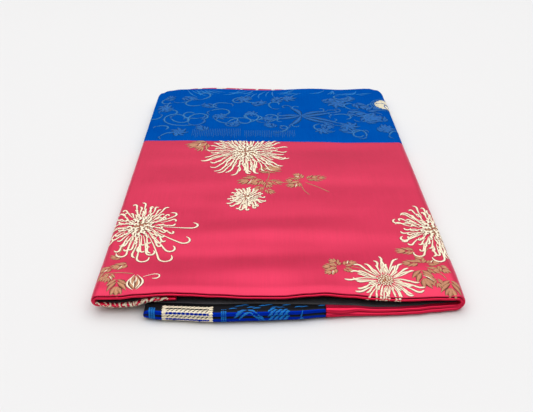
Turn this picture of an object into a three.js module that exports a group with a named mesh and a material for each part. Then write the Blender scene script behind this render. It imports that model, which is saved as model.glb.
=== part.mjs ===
// Folded brocade cloth, sewn from a face and a lining. The face is a red flowered satin panel with a blue
// strip along its end and a blue strip down its side, and it turns over the front edge to meet the
// charcoal lining. The cloth is folded in three: a short flap tucked in at the left, the top, and the
// bottom that comes back underneath. Millimetres, +Z up, +Y away from the front edge. The origin is the
// middle of the base.
import * as THREE from 'three';

// Driving dimensions
const foldedWidth = 330;
const foldedDepth = 493;
const faceThickness = 1.5;
const liningThickness = 1.0;
const seamGap = 0.3;
const endStripDepth = 175;
const seamSkew = -0.012;
const facingDepth = 44;

// Half the thickness of the cloth, face and lining together, away from its puffed front edge
const topHalf = 2.4;
const flapHalf = 1.9;
const bottomHalf = 2.7;
const closedHalf = faceThickness + seamGap / 2;

// Places across the width
const flapEnd = -90;
const sideSeam = 40.5;
const bottomEnd = -118;

// How far in from an end the face and the lining begin to close on each other
const endPinch = 7;
const backPinch = 16;

// Depth over which the puffed front edge settles to the thickness behind it, and the distances across in
// which the flap and the top come level with the folds
const settleDepth = 46;
const flapLevelling = 14;
const topLevelling = 20;

// The front edge of the top layer, from left to right: how far it stands above its mean level, and how
// far it stands forward.
const topFrontEdge = [
  { x: -165, lift: 0.5, forward: 0.0 },
  { x: -140, lift: 0.9, forward: 0.6 },
  { x: -126, lift: 2.6, forward: 0.4 },
  { x: -96, lift: 3.7, forward: -0.4 },
  { x: -78, lift: 3.2, forward: 0.0 },
  { x: -57, lift: 2.0, forward: 0.4 },
  { x: -25, lift: 0.3, forward: 0.8 },
  { x: 2, lift: 0.1, forward: 1.0 },
  { x: 28, lift: 2.2, forward: 0.4 },
  { x: 39, lift: 2.9, forward: 0.0 },
  { x: 63, lift: 1.1, forward: 0.6 },
  { x: 84, lift: -1.0, forward: 1.2 },
  { x: 108, lift: -2.3, forward: 1.6 },
  { x: 143, lift: -1.8, forward: 1.0 },
  { x: 165, lift: -2.4, forward: 0.0 },
];

// The front edge of the bottom layer, from left to right: half its height, how far it stands forward, and
// how far the face turns over it before the lining begins.
const bottomFrontEdge = [
  { x: -120, half: 4.8, forward: 10.5, turnIn: 9 },
  { x: -98, half: 5.2, forward: 14.0, turnIn: 9 },
  { x: -57, half: 5.4, forward: 17.0, turnIn: 9 },
  { x: -21, half: 5.3, forward: 16.0, turnIn: 9 },
  { x: 12, half: 5.1, forward: 14.4, turnIn: 7 },
  { x: 41, half: 4.8, forward: 11.2, turnIn: 4 },
  { x: 63, half: 4.3, forward: 9.6, turnIn: 3 },
  { x: 84, half: 3.3, forward: 8.6, turnIn: 3 },
  { x: 102, half: 3.1, forward: 7.9, turnIn: 3 },
  { x: 120, half: 3.2, forward: 6.8, turnIn: 3 },
  { x: 137, half: 3.3, forward: 4.4, turnIn: 3 },
  { x: 155, half: 3.2, forward: 2.2, turnIn: 3 },
  { x: 165, half: 3.1, forward: 0.0, turnIn: 3 },
];
const flapTurnIn = 1.5;
const topTurnIn = 5;

// The back edge, from left to right: how far it falls short of the full depth where it rounds off over the
// side folds, and how far the red facing stands out behind it.
const backEdge = [
  { x: -165, short: 22, facing: 0 },
  { x: -160, short: 15, facing: 0 },
  { x: -150, short: 5, facing: 0 },
  { x: -134, short: 0, facing: 1 },
  { x: -112, short: 0, facing: 7 },
  { x: -60, short: 0, facing: 9 },
  { x: -20, short: 1, facing: 9 },
  { x: 12, short: 1, facing: 7 },
  { x: 32, short: 0, facing: 1 },
  { x: 130, short: 0, facing: 0 },
  { x: 146, short: 1, facing: 5 },
  { x: 156, short: 6, facing: 5 },
  { x: 165, short: 16, facing: 0 },
];

// The level of the underside of the tucked flap, from its rolled left edge to its free end.
const flapLevel = [
  { x: -165, front: 6.0, behind: 5.1 },
  { x: -148, front: 4.9, behind: 4.7 },
  { x: -130, front: 5.8, behind: 5.0 },
  { x: -113, front: 10.3, behind: 6.0 },
  { x: -104, front: 11.1, behind: 6.1 },
  { x: -90, front: 11.7, behind: 6.1 },
];

// The level of the top layer's upper face, from the front edge to the back edge.
const topLevel = [
  { y: 0, level: 17.6 },
  { y: 12, level: 18.7 },
  { y: 30, level: 19.0 },
  { y: 90, level: 17.4 },
  { y: 200, level: 16.6 },
  { y: 330, level: 16.2 },
  { y: 420, level: 16.4 },
  { y: 493, level: 15.4 },
];

// Soft swells and hollows of the top layer: centre, reach across and along the depth, and height.
const swells = [
  { x: -60, y: 62, across: 90, along: 13, height: -0.7 },
  { x: 60, y: 84, across: 80, along: 16, height: -0.8 },
  { x: -30, y: 112, across: 110, along: 15, height: 0.6 },
  { x: 100, y: 140, across: 60, along: 18, height: 0.7 },
  { x: -90, y: 160, across: 70, along: 18, height: -0.6 },
  { x: 30, y: 176, across: 90, along: 16, height: -0.6 },
  { x: 40, y: 222, across: 100, along: 18, height: 0.6 },
  { x: -80, y: 262, across: 80, along: 22, height: 0.5 },
  { x: 90, y: 300, across: 60, along: 22, height: -0.6 },
  { x: -40, y: 400, across: 90, along: 26, height: -0.7 },
  { x: -90, y: 493, across: 30, along: 30, height: 1.3 },
  { x: -4, y: 493, across: 38, along: 24, height: -1.0 },
  { x: 59, y: 493, across: 26, along: 24, height: 0.9 },
  { x: 102, y: 493, across: 22, along: 22, height: -1.1 },
  { x: 146, y: 493, across: 16, along: 26, height: 0.9 },
];

// Steps of the solids
const flapSteps = 7;
const foldSteps = 9;
const topSteps = 24;
const bottomSteps = 12;
const turnSteps = 8;
const panelRows = 13;
const stripRows = 10;
const liningRows = 11;
const settledRows = 5;
const pinchedRows = [0, 0.45, 0.75, 1];
const roundedColumns = [0.6, 2, 4];

// Smooth passage from 0 to 1
function ease(share) {
  const held = THREE.MathUtils.clamp(share, 0, 1);
  return held * held * (3 - 2 * held);
}

// Whole numbers from 0 up to a count
function counted(count) {
  return Array.from({ length: count }, (_, index) => index);
}

function mix(from, to, share) {
  return from + (to - from) * share;
}

// Reads one column of a table, eased between its rows
function along(table, key, at, column) {
  if (at <= table[0][key]) return table[0][column];
  for (let row = 1; row < table.length; row += 1) {
    const before = table[row - 1];
    const after = table[row];
    if (at <= after[key]) {
      return mix(before[column], after[column], ease((at - before[key]) / (after[key] - before[key])));
    }
  }
  return table[table.length - 1][column];
}

// 1 at the front edge, falling to 0 where the cloth has settled
function frontShare(y) {
  return 1 - ease(y / settleDepth);
}

function swellHeight(x, y) {
  return swells.reduce((sum, swell) => {
    const reach = ((x - swell.x) / swell.across) ** 2 + ((y - swell.y) / swell.along) ** 2;
    return sum + swell.height * Math.exp(-reach);
  }, 0);
}

// Upper face of the top layer, and underside of the flap
function topFace(x, y) {
  const lift = along(topFrontEdge, 'x', x, 'lift') * frontShare(y);
  return along(topLevel, 'y', y, 'level') + lift + swellHeight(x, y);
}

function flapFace(x, y) {
  return mix(along(flapLevel, 'x', x, 'behind'), along(flapLevel, 'x', x, 'front'), frontShare(y));
}

// The two side folds are half rounds. Each is given by its centre and radius at a depth.
function foldPoint(fold, angle) {
  const { x, level, radius } = fold;
  return new THREE.Vector2(x + radius * Math.cos(angle), level + radius * Math.sin(angle));
}

function leftFold(y) {
  const upper = topFace(-foldedWidth / 2, y);
  const lower = flapFace(-foldedWidth / 2, y);
  const radius = (upper - lower) / 2;
  return { x: -foldedWidth / 2 + radius, level: lower + radius, radius, upper, lower };
}

function rightFold(y) {
  const upper = topFace(foldedWidth / 2, y);
  const radius = upper / 2;
  return { x: foldedWidth / 2 - radius, level: radius, radius, upper };
}

// The outer skin of the cloth, folded in three, is one path through five stretches. The place on it is a
// number whose whole part names the stretch: 0 flap, 1 left fold, 2 top, 3 right fold, 4 bottom.
function outerSkin(place, y) {
  const left = leftFold(y);
  const right = rightFold(y);
  const stretch = Math.min(Math.floor(place), 4);
  const share = place - stretch;
  if (stretch === 0) {
    const x = mix(flapEnd, left.x, share);
    const nearFold = ease((left.x + flapLevelling - x) / flapLevelling);
    return new THREE.Vector2(x, mix(flapFace(x, y), left.lower, nearFold));
  }
  if (stretch === 1) return foldPoint(left, Math.PI * (1.5 - share));
  if (stretch === 2) {
    const x = mix(left.x, right.x, share);
    const nearLeft = ease((left.x + topLevelling - x) / topLevelling);
    const nearRight = ease((x - right.x + topLevelling) / topLevelling);
    return new THREE.Vector2(x, mix(mix(topFace(x, y), left.upper, nearLeft), right.upper, nearRight));
  }
  if (stretch === 3) return foldPoint(right, Math.PI * (0.5 - share));
  return new THREE.Vector2(mix(right.x, bottomEnd, share), 0);
}

// Outward direction of the outer skin, which is up on the top layer
function outward(place, y) {
  const step = 0.004;
  const before = outerSkin(Math.max(place - step, 0), y);
  const after = outerSkin(Math.min(place + step, 5), y);
  const tangent = after.sub(before).normalize();
  return new THREE.Vector2(-tangent.y, tangent.x);
}

// A point of the cloth: its place on the path, its depth, and how far it lies under the outer skin
function clothPoint(place, y, under) {
  const skin = outerSkin(place, Math.max(y, 0));
  const normal = outward(place, Math.max(y, 0));
  return new THREE.Vector3(skin.x - normal.x * under, y, skin.y - normal.y * under);
}

// The front edge of the cloth and its back edge at a place on the path
function frontLine(place) {
  const { x } = outerSkin(place, 0);
  const top = -along(topFrontEdge, 'x', x, 'forward');
  return mix(top, -along(bottomFrontEdge, 'x', x, 'forward'), ease(place - 3));
}

function backLine(place) {
  return foldedDepth - along(backEdge, 'x', outerSkin(place, foldedDepth).x, 'short');
}

// The seam between the red panel and the strip along the end, which runs a little askew
function endSeam(place) {
  return foldedDepth - endStripDepth + seamSkew * outerSkin(place, foldedDepth - endStripDepth).x;
}

// Half the thickness of the cloth where neither end pinches it. Face and lining close up at the back edge.
function openHalf(place, y) {
  const bottomFront = along(bottomFrontEdge, 'x', outerSkin(place, 0).x, 'half');
  const top = mix(flapHalf, topHalf, ease(place - 1));
  const half = mix(top, mix(bottomHalf, bottomFront, frontShare(y)), ease(place - 3));
  return mix(half, closedHalf, ease((y - backLine(place) + backPinch) / backPinch));
}

// The same, rounded off at the free end of the flap and at the end of the bottom
function halfThickness(place, y) {
  const { x } = outerSkin(place, y);
  let fromEnd = endPinch;
  if (place < 1) fromEnd = flapEnd - x;
  if (place > 4) fromEnd = x - bottomEnd;
  const share = 1 - THREE.MathUtils.clamp(fromEnd / endPinch, 0, 1);
  return mix(closedHalf, openHalf(place, y), Math.sqrt(1 - share * share));
}

// The face is the outer of the two sheets and the lining the inner one. Each is seen in its thickness, as
// the pair of points on its skins, with the skin that shows first.
function facePair(place, y) {
  const skin = openHalf(place, y) - halfThickness(place, y);
  return [clothPoint(place, y, skin), clothPoint(place, y, skin + faceThickness)];
}

function insidePair(place, y, thickness) {
  const skin = openHalf(place, y) + halfThickness(place, y);
  return [clothPoint(place, y, skin), clothPoint(place, y, skin - thickness)];
}

// The face round the puffed front edge, as half a round between its outer and its turned-in part
function edgePairs(place) {
  const half = halfThickness(place, 0);
  const open = openHalf(place, 0);
  const centre = frontLine(place) + half;
  return counted(turnSteps + 1).map((step) => {
    const angle = Math.PI * (0.5 - step / turnSteps);
    return [half, half - faceThickness].map((radius) => {
      const point = clothPoint(place, centre, open - radius * Math.sin(angle));
      return point.setY(centre - radius * Math.cos(angle));
    });
  });
}

function edgeCentre(place) {
  return frontLine(place) + halfThickness(place, 0);
}

// Where the turned-in face ends and the lining begins
function liningStart(place) {
  const top = mix(flapTurnIn, topTurnIn, ease(place - 1));
  const bottom = along(bottomFrontEdge, 'x', outerSkin(place, 0).x, 'turnIn');
  return edgeCentre(place) + mix(top, bottom, ease(place - 3));
}

// Depths of the rows between two depths, closer together near the front, or close together at the back edge
function frontDepths(from, to, rows) {
  return counted(rows).map((row) => mix(from, to, ((row + 1) / rows) ** 1.5));
}

function backDepths(from, to) {
  const settled = counted(settledRows).map((row) => mix(from, to - backPinch, row / settledRows));
  return [...settled, ...pinchedRows.map((share) => mix(to - backPinch, to, share))];
}

// A closed solid from a grid of skin pairs: columns run along the path and rows along the depth
function sheetSolid(columns) {
  const rows = columns[0].length;
  const positions = columns.flat(2).flatMap((point) => point.toArray());
  const corner = (column, row, skin) => (column * rows + row) * 2 + skin;
  const faces = [];
  const quad = (a, b, c, d) => faces.push(a, b, c, a, c, d);
  const skinQuads = (column, row) => {
    const [a, b, c, d] = [[column, row], [column, row + 1], [column + 1, row + 1], [column + 1, row]];
    quad(corner(...a, 0), corner(...b, 0), corner(...c, 0), corner(...d, 0));
    quad(corner(...a, 1), corner(...d, 1), corner(...c, 1), corner(...b, 1));
  };
  const rimQuad = (a, b) => quad(corner(...a, 0), corner(...b, 0), corner(...b, 1), corner(...a, 1));
  for (let column = 0; column < columns.length - 1; column += 1) {
    for (let row = 0; row < rows - 1; row += 1) skinQuads(column, row);
    rimQuad([column, 0], [column + 1, 0]);
    rimQuad([column + 1, rows - 1], [column, rows - 1]);
  }
  for (let row = 0; row < rows - 1; row += 1) {
    rimQuad([0, row + 1], [0, row]);
    rimQuad([columns.length - 1, row], [columns.length - 1, row + 1]);
  }
  const geometry = new THREE.BufferGeometry();
  geometry.setAttribute('position', new THREE.Float32BufferAttribute(positions, 3));
  geometry.setIndex(faces);
  geometry.computeVertexNormals();
  return geometry;
}

// Places along the path between two places, closer together where an end is rounded off
function placesBetween(from, to) {
  const stretches = [flapSteps, foldSteps, topSteps, foldSteps, bottomSteps];
  const even = stretches.flatMap((steps, stretch) => counted(steps).map((step) => stretch + step / steps));
  const flapWidth = flapEnd - leftFold(0).x;
  const rounded = roundedColumns.flatMap((inset) => [inset / flapWidth, bottomPlace(bottomEnd + inset)]);
  const inner = [...even, ...rounded].sort((a, b) => a - b);
  return [from, ...inner.filter((place) => place > from + 0.001 && place < to - 0.001), to];
}

// The place on the bottom layer at a distance across
function bottomPlace(x) {
  const start = rightFold(0).x;
  return 4 + (x - start) / (bottomEnd - start);
}

function turnedInDepths(place) {
  return [0.5, 1].map((share) => mix(edgeCentre(place), liningStart(place), share));
}

// The red panel: from the end seam to the front edge, round it, and in as far as the lining
function redPanel() {
  return sheetSolid(placesBetween(0, bottomPlace(sideSeam + seamGap / 2)).map((place) => {
    const depths = frontDepths(edgeCentre(place), endSeam(place) - seamGap / 2, panelRows).reverse();
    const turnedIn = turnedInDepths(place).map((y) => insidePair(place, y, faceThickness));
    return [...depths.map((y) => facePair(place, y)), ...edgePairs(place), ...turnedIn];
  }));
}

// The blue strip along the end: from the end seam to the back edge
function endStrip() {
  return sheetSolid(placesBetween(0, bottomPlace(sideSeam + seamGap / 2)).map((place) => {
    const depths = backDepths(endSeam(place) + seamGap / 2, backLine(place)).reverse();
    return depths.map((y) => facePair(place, y));
  }));
}

// The blue strip down the side of the bottom layer: from the back edge to the front edge and round it
function sideStrip() {
  return sheetSolid(placesBetween(bottomPlace(sideSeam - seamGap / 2), 5).map((place) => {
    const seam = endSeam(place);
    const front = frontDepths(edgeCentre(place), seam, stripRows);
    const depths = [...front, ...backDepths(seam, backLine(place)).slice(1)];
    const turnedIn = turnedInDepths(place).map((y) => insidePair(place, y, faceThickness));
    return [...depths.reverse().map((y) => facePair(place, y)), ...edgePairs(place), ...turnedIn];
  }));
}

// The lining: the inner sheet, from the turned-in face to the facing at the back
function lining() {
  return sheetSolid(placesBetween(0, 5).map((place) => {
    const start = liningStart(place) + seamGap;
    const depths = [start, ...frontDepths(start, foldedDepth - facingDepth, liningRows)];
    return depths.map((y) => insidePair(place, y, liningThickness));
  }));
}

// The red facing: closes the inner sheet at the back, and stands out a little behind the blue edge
function backFacing() {
  return sheetSolid(placesBetween(0, 5).map((place) => {
    const back = backLine(place);
    const standsOut = along(backEdge, 'x', outerSkin(place, foldedDepth).x, 'facing');
    const start = foldedDepth - facingDepth + seamGap;
    const depths = [start, ...pinchedRows.slice(0, -1).map((share) => back - backPinch * (1 - share))];
    return [...depths, back + standsOut].map((y) => insidePair(place, y, faceThickness));
  }));
}

const redSatin = new THREE.MeshStandardMaterial({ color: 0xd64266, roughness: 0.42, metalness: 0.0 });
const blueSatin = new THREE.MeshStandardMaterial({ color: 0x0a55a8, roughness: 0.42, metalness: 0.0 });
const charcoalCloth = new THREE.MeshStandardMaterial({ color: 0x242422, roughness: 0.9, metalness: 0.0 });

const cloth = new THREE.Group();
cloth.name = 'folded_brocade_cloth';

function addPiece(name, geometry, material) {
  const piece = new THREE.Mesh(geometry, material);
  piece.name = name;
  cloth.add(piece);
}

addPiece('red_panel', redPanel(), redSatin);
addPiece('blue_end_strip', endStrip(), blueSatin);
addPiece('blue_side_strip', sideStrip(), blueSatin);
addPiece('charcoal_lining', lining(), charcoalCloth);
addPiece('red_back_facing', backFacing(), redSatin);

// The working frame has the mean front edge at y = 0. The part's origin is the middle of its base.
const bounds = new THREE.Box3().setFromObject(cloth);
const middle = bounds.getCenter(new THREE.Vector3());
cloth.position.set(-middle.x, -middle.y, -bounds.min.z);

export default cloth;
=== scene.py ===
"""Looks of a folded brocade cloth: red and blue satin sheets, the woven flowers and scrolls on them, the
charcoal lining, and a plain stage. Sizes in the tables are millimetres on the cloth. Objects are in
metres."""
import math

import bmesh
import bpy
import numpy as np
from bpy.props import FloatProperty, FloatVectorProperty, PointerProperty
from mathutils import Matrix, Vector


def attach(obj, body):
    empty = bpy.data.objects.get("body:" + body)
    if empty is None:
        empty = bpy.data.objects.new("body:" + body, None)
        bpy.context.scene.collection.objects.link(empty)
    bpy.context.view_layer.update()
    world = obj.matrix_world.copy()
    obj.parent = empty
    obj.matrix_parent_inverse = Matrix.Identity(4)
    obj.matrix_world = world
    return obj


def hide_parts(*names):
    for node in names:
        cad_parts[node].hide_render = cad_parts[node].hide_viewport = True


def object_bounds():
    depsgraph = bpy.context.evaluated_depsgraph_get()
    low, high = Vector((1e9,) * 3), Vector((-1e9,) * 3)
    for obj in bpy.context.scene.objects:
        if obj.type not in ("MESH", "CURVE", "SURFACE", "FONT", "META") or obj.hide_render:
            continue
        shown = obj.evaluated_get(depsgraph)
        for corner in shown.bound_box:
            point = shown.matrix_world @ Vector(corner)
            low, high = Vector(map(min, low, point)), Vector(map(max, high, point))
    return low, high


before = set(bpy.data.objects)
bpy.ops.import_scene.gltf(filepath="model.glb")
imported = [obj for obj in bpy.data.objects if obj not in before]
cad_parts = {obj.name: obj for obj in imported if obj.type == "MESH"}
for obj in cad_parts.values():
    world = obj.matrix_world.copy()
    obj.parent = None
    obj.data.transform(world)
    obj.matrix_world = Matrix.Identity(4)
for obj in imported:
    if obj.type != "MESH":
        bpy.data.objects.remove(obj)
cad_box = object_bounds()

bl_info = {
    "name": "Folded Brocade Cloth",
    "version": (1, 0, 0),
    "blender": (4, 5, 0),
    "location": "View3D > Sidebar > Cloth",
    "description": "Builds a folded, lined brocade cloth with its woven flowers and scrolls",
    "category": "Add Mesh",
}

MM = 0.001
BODY = "root"
UV_NAME = "cloth"


class Table:
    """Rows of numbers under named columns, read between its rows with an eased passage."""

    def __init__(self, columns, *rows):
        self.columns = {name: np.array(values, float) for name, values in zip(columns.split(), zip(*rows))}
        self.key = self.columns[columns.split()[0]]

    def at(self, place, column):
        place = np.asarray(place, float)
        row = np.clip(np.searchsorted(self.key, place, side="right") - 1, 0, len(self.key) - 2)
        share = ease((place - self.key[row]) / (self.key[row + 1] - self.key[row]))
        values = self.columns[column]
        return mix(values[row], values[row + 1], share)


def ease(share):
    held = np.clip(share, 0.0, 1.0)
    return held * held * (3.0 - 2.0 * held)


def mix(start, end, share):
    return start + (end - start) * share


def bump(place, middle, reach):
    return np.exp(-(((place - middle) / reach) ** 2))


# The cloth's own sizes, in millimetres
HALF_WIDTH = 165.0
DEPTH = 493.0
END_STRIP = 175.0
SEAM_SKEW = -0.012
SEAM_GAP = 0.3
SHEET_THICKNESS = 1.5
FACING_DEPTH = 44.0
TOP_HALF = 2.4
FLAP_HALF = 1.9
BOTTOM_HALF = 2.7
CLOSED_HALF = SHEET_THICKNESS + SEAM_GAP / 2
FLAP_END = -90.0
SIDE_SEAM = 40.5
BOTTOM_END = -118.0
END_PINCH = 7.0
BACK_PINCH = 16.0
SETTLE_DEPTH = 46.0
FLAP_LEVELLING = 14.0
TOP_LEVELLING = 20.0
FLAP_TURN_IN = 1.5
TOP_TURN_IN = 5.0
SEAM_PULL = 2.5
SEAM_PULL_RIGHT = 4.0
SHEEN_START = 26.0
SHEEN_END = 14.0
SHEEN_FADE = 20.0
SEAM_DIP = 0.45
SEAM_REACH = 1.3
EDGE_ROWS = 44
FOLD_STEPS = 21
FOLD_MARGIN = 6
NORMAL_STEP = 0.4

# Front edge of the top layer: how far it lifts and how far it stands forward
TOP_FRONT = Table(
    "x lift forward",
    (-165, 0.5, 0.0), (-140, 0.9, 0.6), (-126, 2.6, 0.4), (-96, 3.7, -0.4), (-78, 3.2, 0.0),
    (-57, 2.0, 0.4), (-25, 0.3, 0.8), (2, 0.1, 1.0), (28, 2.2, 0.4), (39, 2.9, 0.0),
    (63, 1.1, 0.6), (84, -1.0, 1.2), (108, -2.3, 1.6), (143, -1.8, 1.0), (165, -2.4, 0.0),
)
# Front edge of the bottom layer: its half thickness, how far it stands forward and how far it turns in
BOTTOM_FRONT = Table(
    "x half forward turn_in",
    (-120, 4.8, 10.5, 9), (-98, 5.2, 14.0, 9), (-57, 5.4, 17.0, 9), (-21, 5.3, 16.0, 9),
    (12, 5.1, 14.4, 7), (41, 4.8, 11.2, 4), (63, 4.3, 9.6, 3), (84, 3.3, 8.6, 3),
    (102, 3.1, 7.9, 3), (120, 3.2, 6.8, 3), (137, 3.3, 4.4, 3), (155, 3.2, 2.2, 3), (165, 3.1, 0.0, 3),
)
# Back edge: how far it falls short, and how far the facing shows beyond it
BACK_EDGE = Table(
    "x short facing",
    (-165, 22, 0), (-160, 15, 0), (-150, 5, 0), (-134, 0, 1), (-112, 0, 7), (-60, 0, 9), (-20, 1, 9),
    (12, 1, 7), (32, 0, 1), (130, 0, 0), (146, 1, 5), (156, 6, 5), (165, 16, 0),
)
# Level of the flap's underside, at the front and further behind
FLAP_LEVEL = Table(
    "x front behind",
    (-165, 6.0, 5.1), (-148, 4.9, 4.7), (-130, 5.8, 5.0), (-113, 10.3, 6.0), (-104, 11.1, 6.1),
    (-90, 11.7, 6.1),
)
# Level of the top layer, from front to back
TOP_LEVEL = Table(
    "y level",
    (0, 17.6), (12, 18.7), (30, 19.0), (90, 17.4), (200, 16.6), (330, 16.2), (420, 16.4), (493, 15.4),
)
# Broad swells of the top sheet: middle across and along the depth, reach both ways, and height
SWELLS = (
    (-60, 62, 90, 13, -0.7), (60, 84, 80, 16, -0.8), (-30, 112, 110, 15, 0.6), (100, 140, 60, 18, 0.7),
    (-90, 160, 70, 18, -0.6), (30, 176, 90, 16, -0.6), (40, 222, 100, 18, 0.6), (-80, 262, 80, 22, 0.5),
    (90, 300, 60, 22, -0.6), (-40, 400, 90, 26, -0.7), (-90, 493, 30, 30, 1.3), (-4, 493, 38, 24, -1.0),
    (59, 493, 26, 24, 0.9), (102, 493, 22, 22, -1.1), (146, 493, 16, 26, 0.9),
)

# Soft folds of the top sheet that only catch the light: middle, reach across and along the depth, height, and
# how far they run askew
SHEEN_FOLDS = (
    (-20, 36, 150, 13, 0.8, 0.02), (-10, 62, 130, 12, -1.0, 0.05), (60, 98, 90, 13, 0.7, -0.06),
    (-60, 100, 90, 12, 0.7, 0.08), (20, 132, 110, 13, -0.9, 0.07), (-90, 150, 60, 14, -0.5, -0.1),
    (10, 168, 110, 14, 0.8, 0.05), (70, 200, 80, 14, -0.8, -0.05), (-90, 206, 70, 15, 0.7, 0.06),
    (90, 246, 80, 18, 0.8, 0.04), (-90, 250, 70, 16, -0.8, 0.05), (60, 288, 90, 15, -0.7, 0.03),
    (-100, 300, 50, 14, 0.6, 0.0), (0, 350, 120, 16, 0.5, 0.04), (60, 396, 90, 18, -0.5, -0.04),
    (-70, 430, 80, 18, 0.5, 0.05), (60, 455, 80, 14, 0.5, 0.0),
)

# The part's frame has its origin in the middle of the base, and the tables have the front edge at y = 0
ORIGIN_Y = -cad_box[0][1] / MM - float(max(BOTTOM_FRONT.columns["forward"]))


def front_share(y):
    return 1.0 - ease(y / SETTLE_DEPTH)


def mounds(rows, x, y):
    """Height of low mounds, from rows of their middle, reach, height and how far they run askew."""
    return sum(
        height * np.exp(-(((x - mid_x) / reach_x) ** 2) - ((y - mid_y - skew * (x - mid_x)) / reach_y) ** 2)
        for mid_x, mid_y, reach_x, reach_y, height, skew in rows
    )


def top_face(x, y):
    """Level of the top layer's upper face."""
    swell = mounds([(*row, 0.0) for row in SWELLS], x, y)
    level = TOP_LEVEL.at(y, "level") + TOP_FRONT.at(x, "lift") * front_share(y) + swell
    folds = mounds(SHEEN_FOLDS, x, y)
    return level + folds * ease(y / SHEEN_START) * ease((DEPTH - SHEEN_END - y) / SHEEN_FADE)


def flap_face(x, y):
    """Level of the tucked flap's underside."""
    return mix(FLAP_LEVEL.at(x, "behind"), FLAP_LEVEL.at(x, "front"), front_share(y))


class Fold:
    """Where the outer skin runs at some depths: the two side folds, and the lengths along the cloth."""

    def __init__(self, y):
        self.upper_left = top_face(-HALF_WIDTH, y)
        self.lower_left = flap_face(-HALF_WIDTH, y)
        self.left_radius = (self.upper_left - self.lower_left) / 2
        self.left_x = -HALF_WIDTH + self.left_radius
        self.upper_right = top_face(HALF_WIDTH, y)
        self.right_radius = self.upper_right / 2
        self.right_x = HALF_WIDTH - self.right_radius

    def flap_turn(self):
        return self.left_x - math.pi * self.left_radius

    def bottom_turn(self):
        return self.right_x + math.pi * self.right_radius


def skin(s, y):
    """The outer skin at lengths s along the cloth and depths y, as x and z. A length is the same as x on the
    top layer, less on the flap and more on the bottom."""
    s, y = np.broadcast_arrays(np.asarray(s, float), np.asarray(y, float))
    fold = Fold(y)
    flap_x = fold.left_x + (fold.flap_turn() - s)
    near_fold = ease((fold.left_x + FLAP_LEVELLING - flap_x) / FLAP_LEVELLING)
    flap_z = mix(flap_face(flap_x, y), fold.lower_left, near_fold)
    near_left = ease((fold.left_x + TOP_LEVELLING - s) / TOP_LEVELLING)
    near_right = ease((s - fold.right_x + TOP_LEVELLING) / TOP_LEVELLING)
    top_z = mix(mix(top_face(s, y), fold.upper_left, near_left), fold.upper_right, near_right)
    left_angle = math.pi / 2 + np.clip((fold.left_x - s) / fold.left_radius, 0, math.pi)
    right_angle = math.pi / 2 - np.clip((s - fold.right_x) / fold.right_radius, 0, math.pi)
    left_level = (fold.upper_left + fold.lower_left) / 2
    tests = [s < fold.flap_turn(), s < fold.left_x, s <= fold.right_x, s <= fold.bottom_turn()]
    across = [
        flap_x,
        fold.left_x + fold.left_radius * np.cos(left_angle),
        s,
        fold.right_x + fold.right_radius * np.cos(right_angle),
    ]
    level = [
        flap_z,
        left_level + fold.left_radius * np.sin(left_angle),
        top_z,
        fold.right_radius * (1 + np.sin(right_angle)),
    ]
    return np.select(tests, across, fold.right_x - (s - fold.bottom_turn())), np.select(tests, level, 0.0)


def outward(s, y):
    """The direction away from the outer skin in XZ, which is up on the top layer."""
    before_x, before_z = skin(s - NORMAL_STEP, y)
    after_x, after_z = skin(s + NORMAL_STEP, y)
    along_x, along_z = after_x - before_x, after_z - before_z
    length = np.hypot(along_x, along_z)
    return -along_z / length, along_x / length


def fold_shares(s, y):
    """How far a length is past the left fold, and past the right one, from 0 to 1."""
    fold = Fold(y)
    past_left = 1 - np.clip((fold.left_x - s) / (math.pi * fold.left_radius), 0, 1)
    past_right = np.clip((s - fold.right_x) / (math.pi * fold.right_radius), 0, 1)
    return ease(past_left), ease(past_right)


def front_line(s):
    x = skin(s, 0.0 * s)[0]
    top = -TOP_FRONT.at(x, "forward")
    return mix(top, -BOTTOM_FRONT.at(x, "forward"), fold_shares(s, 0.0 * s)[1])


def back_line(s):
    return DEPTH - BACK_EDGE.at(skin(s, DEPTH + 0.0 * s)[0], "short")


def end_seam(s):
    """Depth of the wavy seam between the red panel and the blue end strip."""
    wave = 0.5 * np.sin(s / 23) + 0.3 * np.sin(s / 9.1 + 1)
    depth = DEPTH - END_STRIP + 0.0 * s
    x = skin(s, depth)[0]
    past_left, past_right = fold_shares(s, depth)
    pull = SEAM_PULL + SEAM_PULL_RIGHT * ease(0.5 + x / (2 * HALF_WIDTH))
    return depth + SEAM_SKEW * x + wave - past_left * (1 - past_right) * pull


def open_half(s, y):
    past_left, past_right = fold_shares(s, y)
    front_half = BOTTOM_FRONT.at(skin(s, 0.0 * s)[0], "half")
    top = mix(FLAP_HALF, TOP_HALF, past_left)
    half = mix(top, mix(BOTTOM_HALF, front_half, front_share(y)), past_right)
    return mix(half, CLOSED_HALF, ease((y - back_line(s) + BACK_PINCH) / BACK_PINCH))


def half_thickness(s, y):
    x = skin(s, y)[0]
    fold = Fold(y)
    from_end = np.where(s < fold.flap_turn(), FLAP_END - x, END_PINCH)
    from_end = np.where(s > fold.bottom_turn(), x - BOTTOM_END, from_end)
    share = 1 - np.clip(from_end / END_PINCH, 0, 1)
    return mix(CLOSED_HALF, open_half(s, y), np.sqrt(1 - share * share))


def edge_half(s):
    """Half the thickness of the front edge, which is the radius that it turns round on."""
    return half_thickness(s, 0.0 * s)


def edge_centre(s):
    return front_line(s) + edge_half(s)


def edge_v(s, share):
    """The v of a place round the front edge, where share 0 is its outer side and 1 its inner side."""
    return edge_centre(s) - math.pi * edge_half(s) * share


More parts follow.
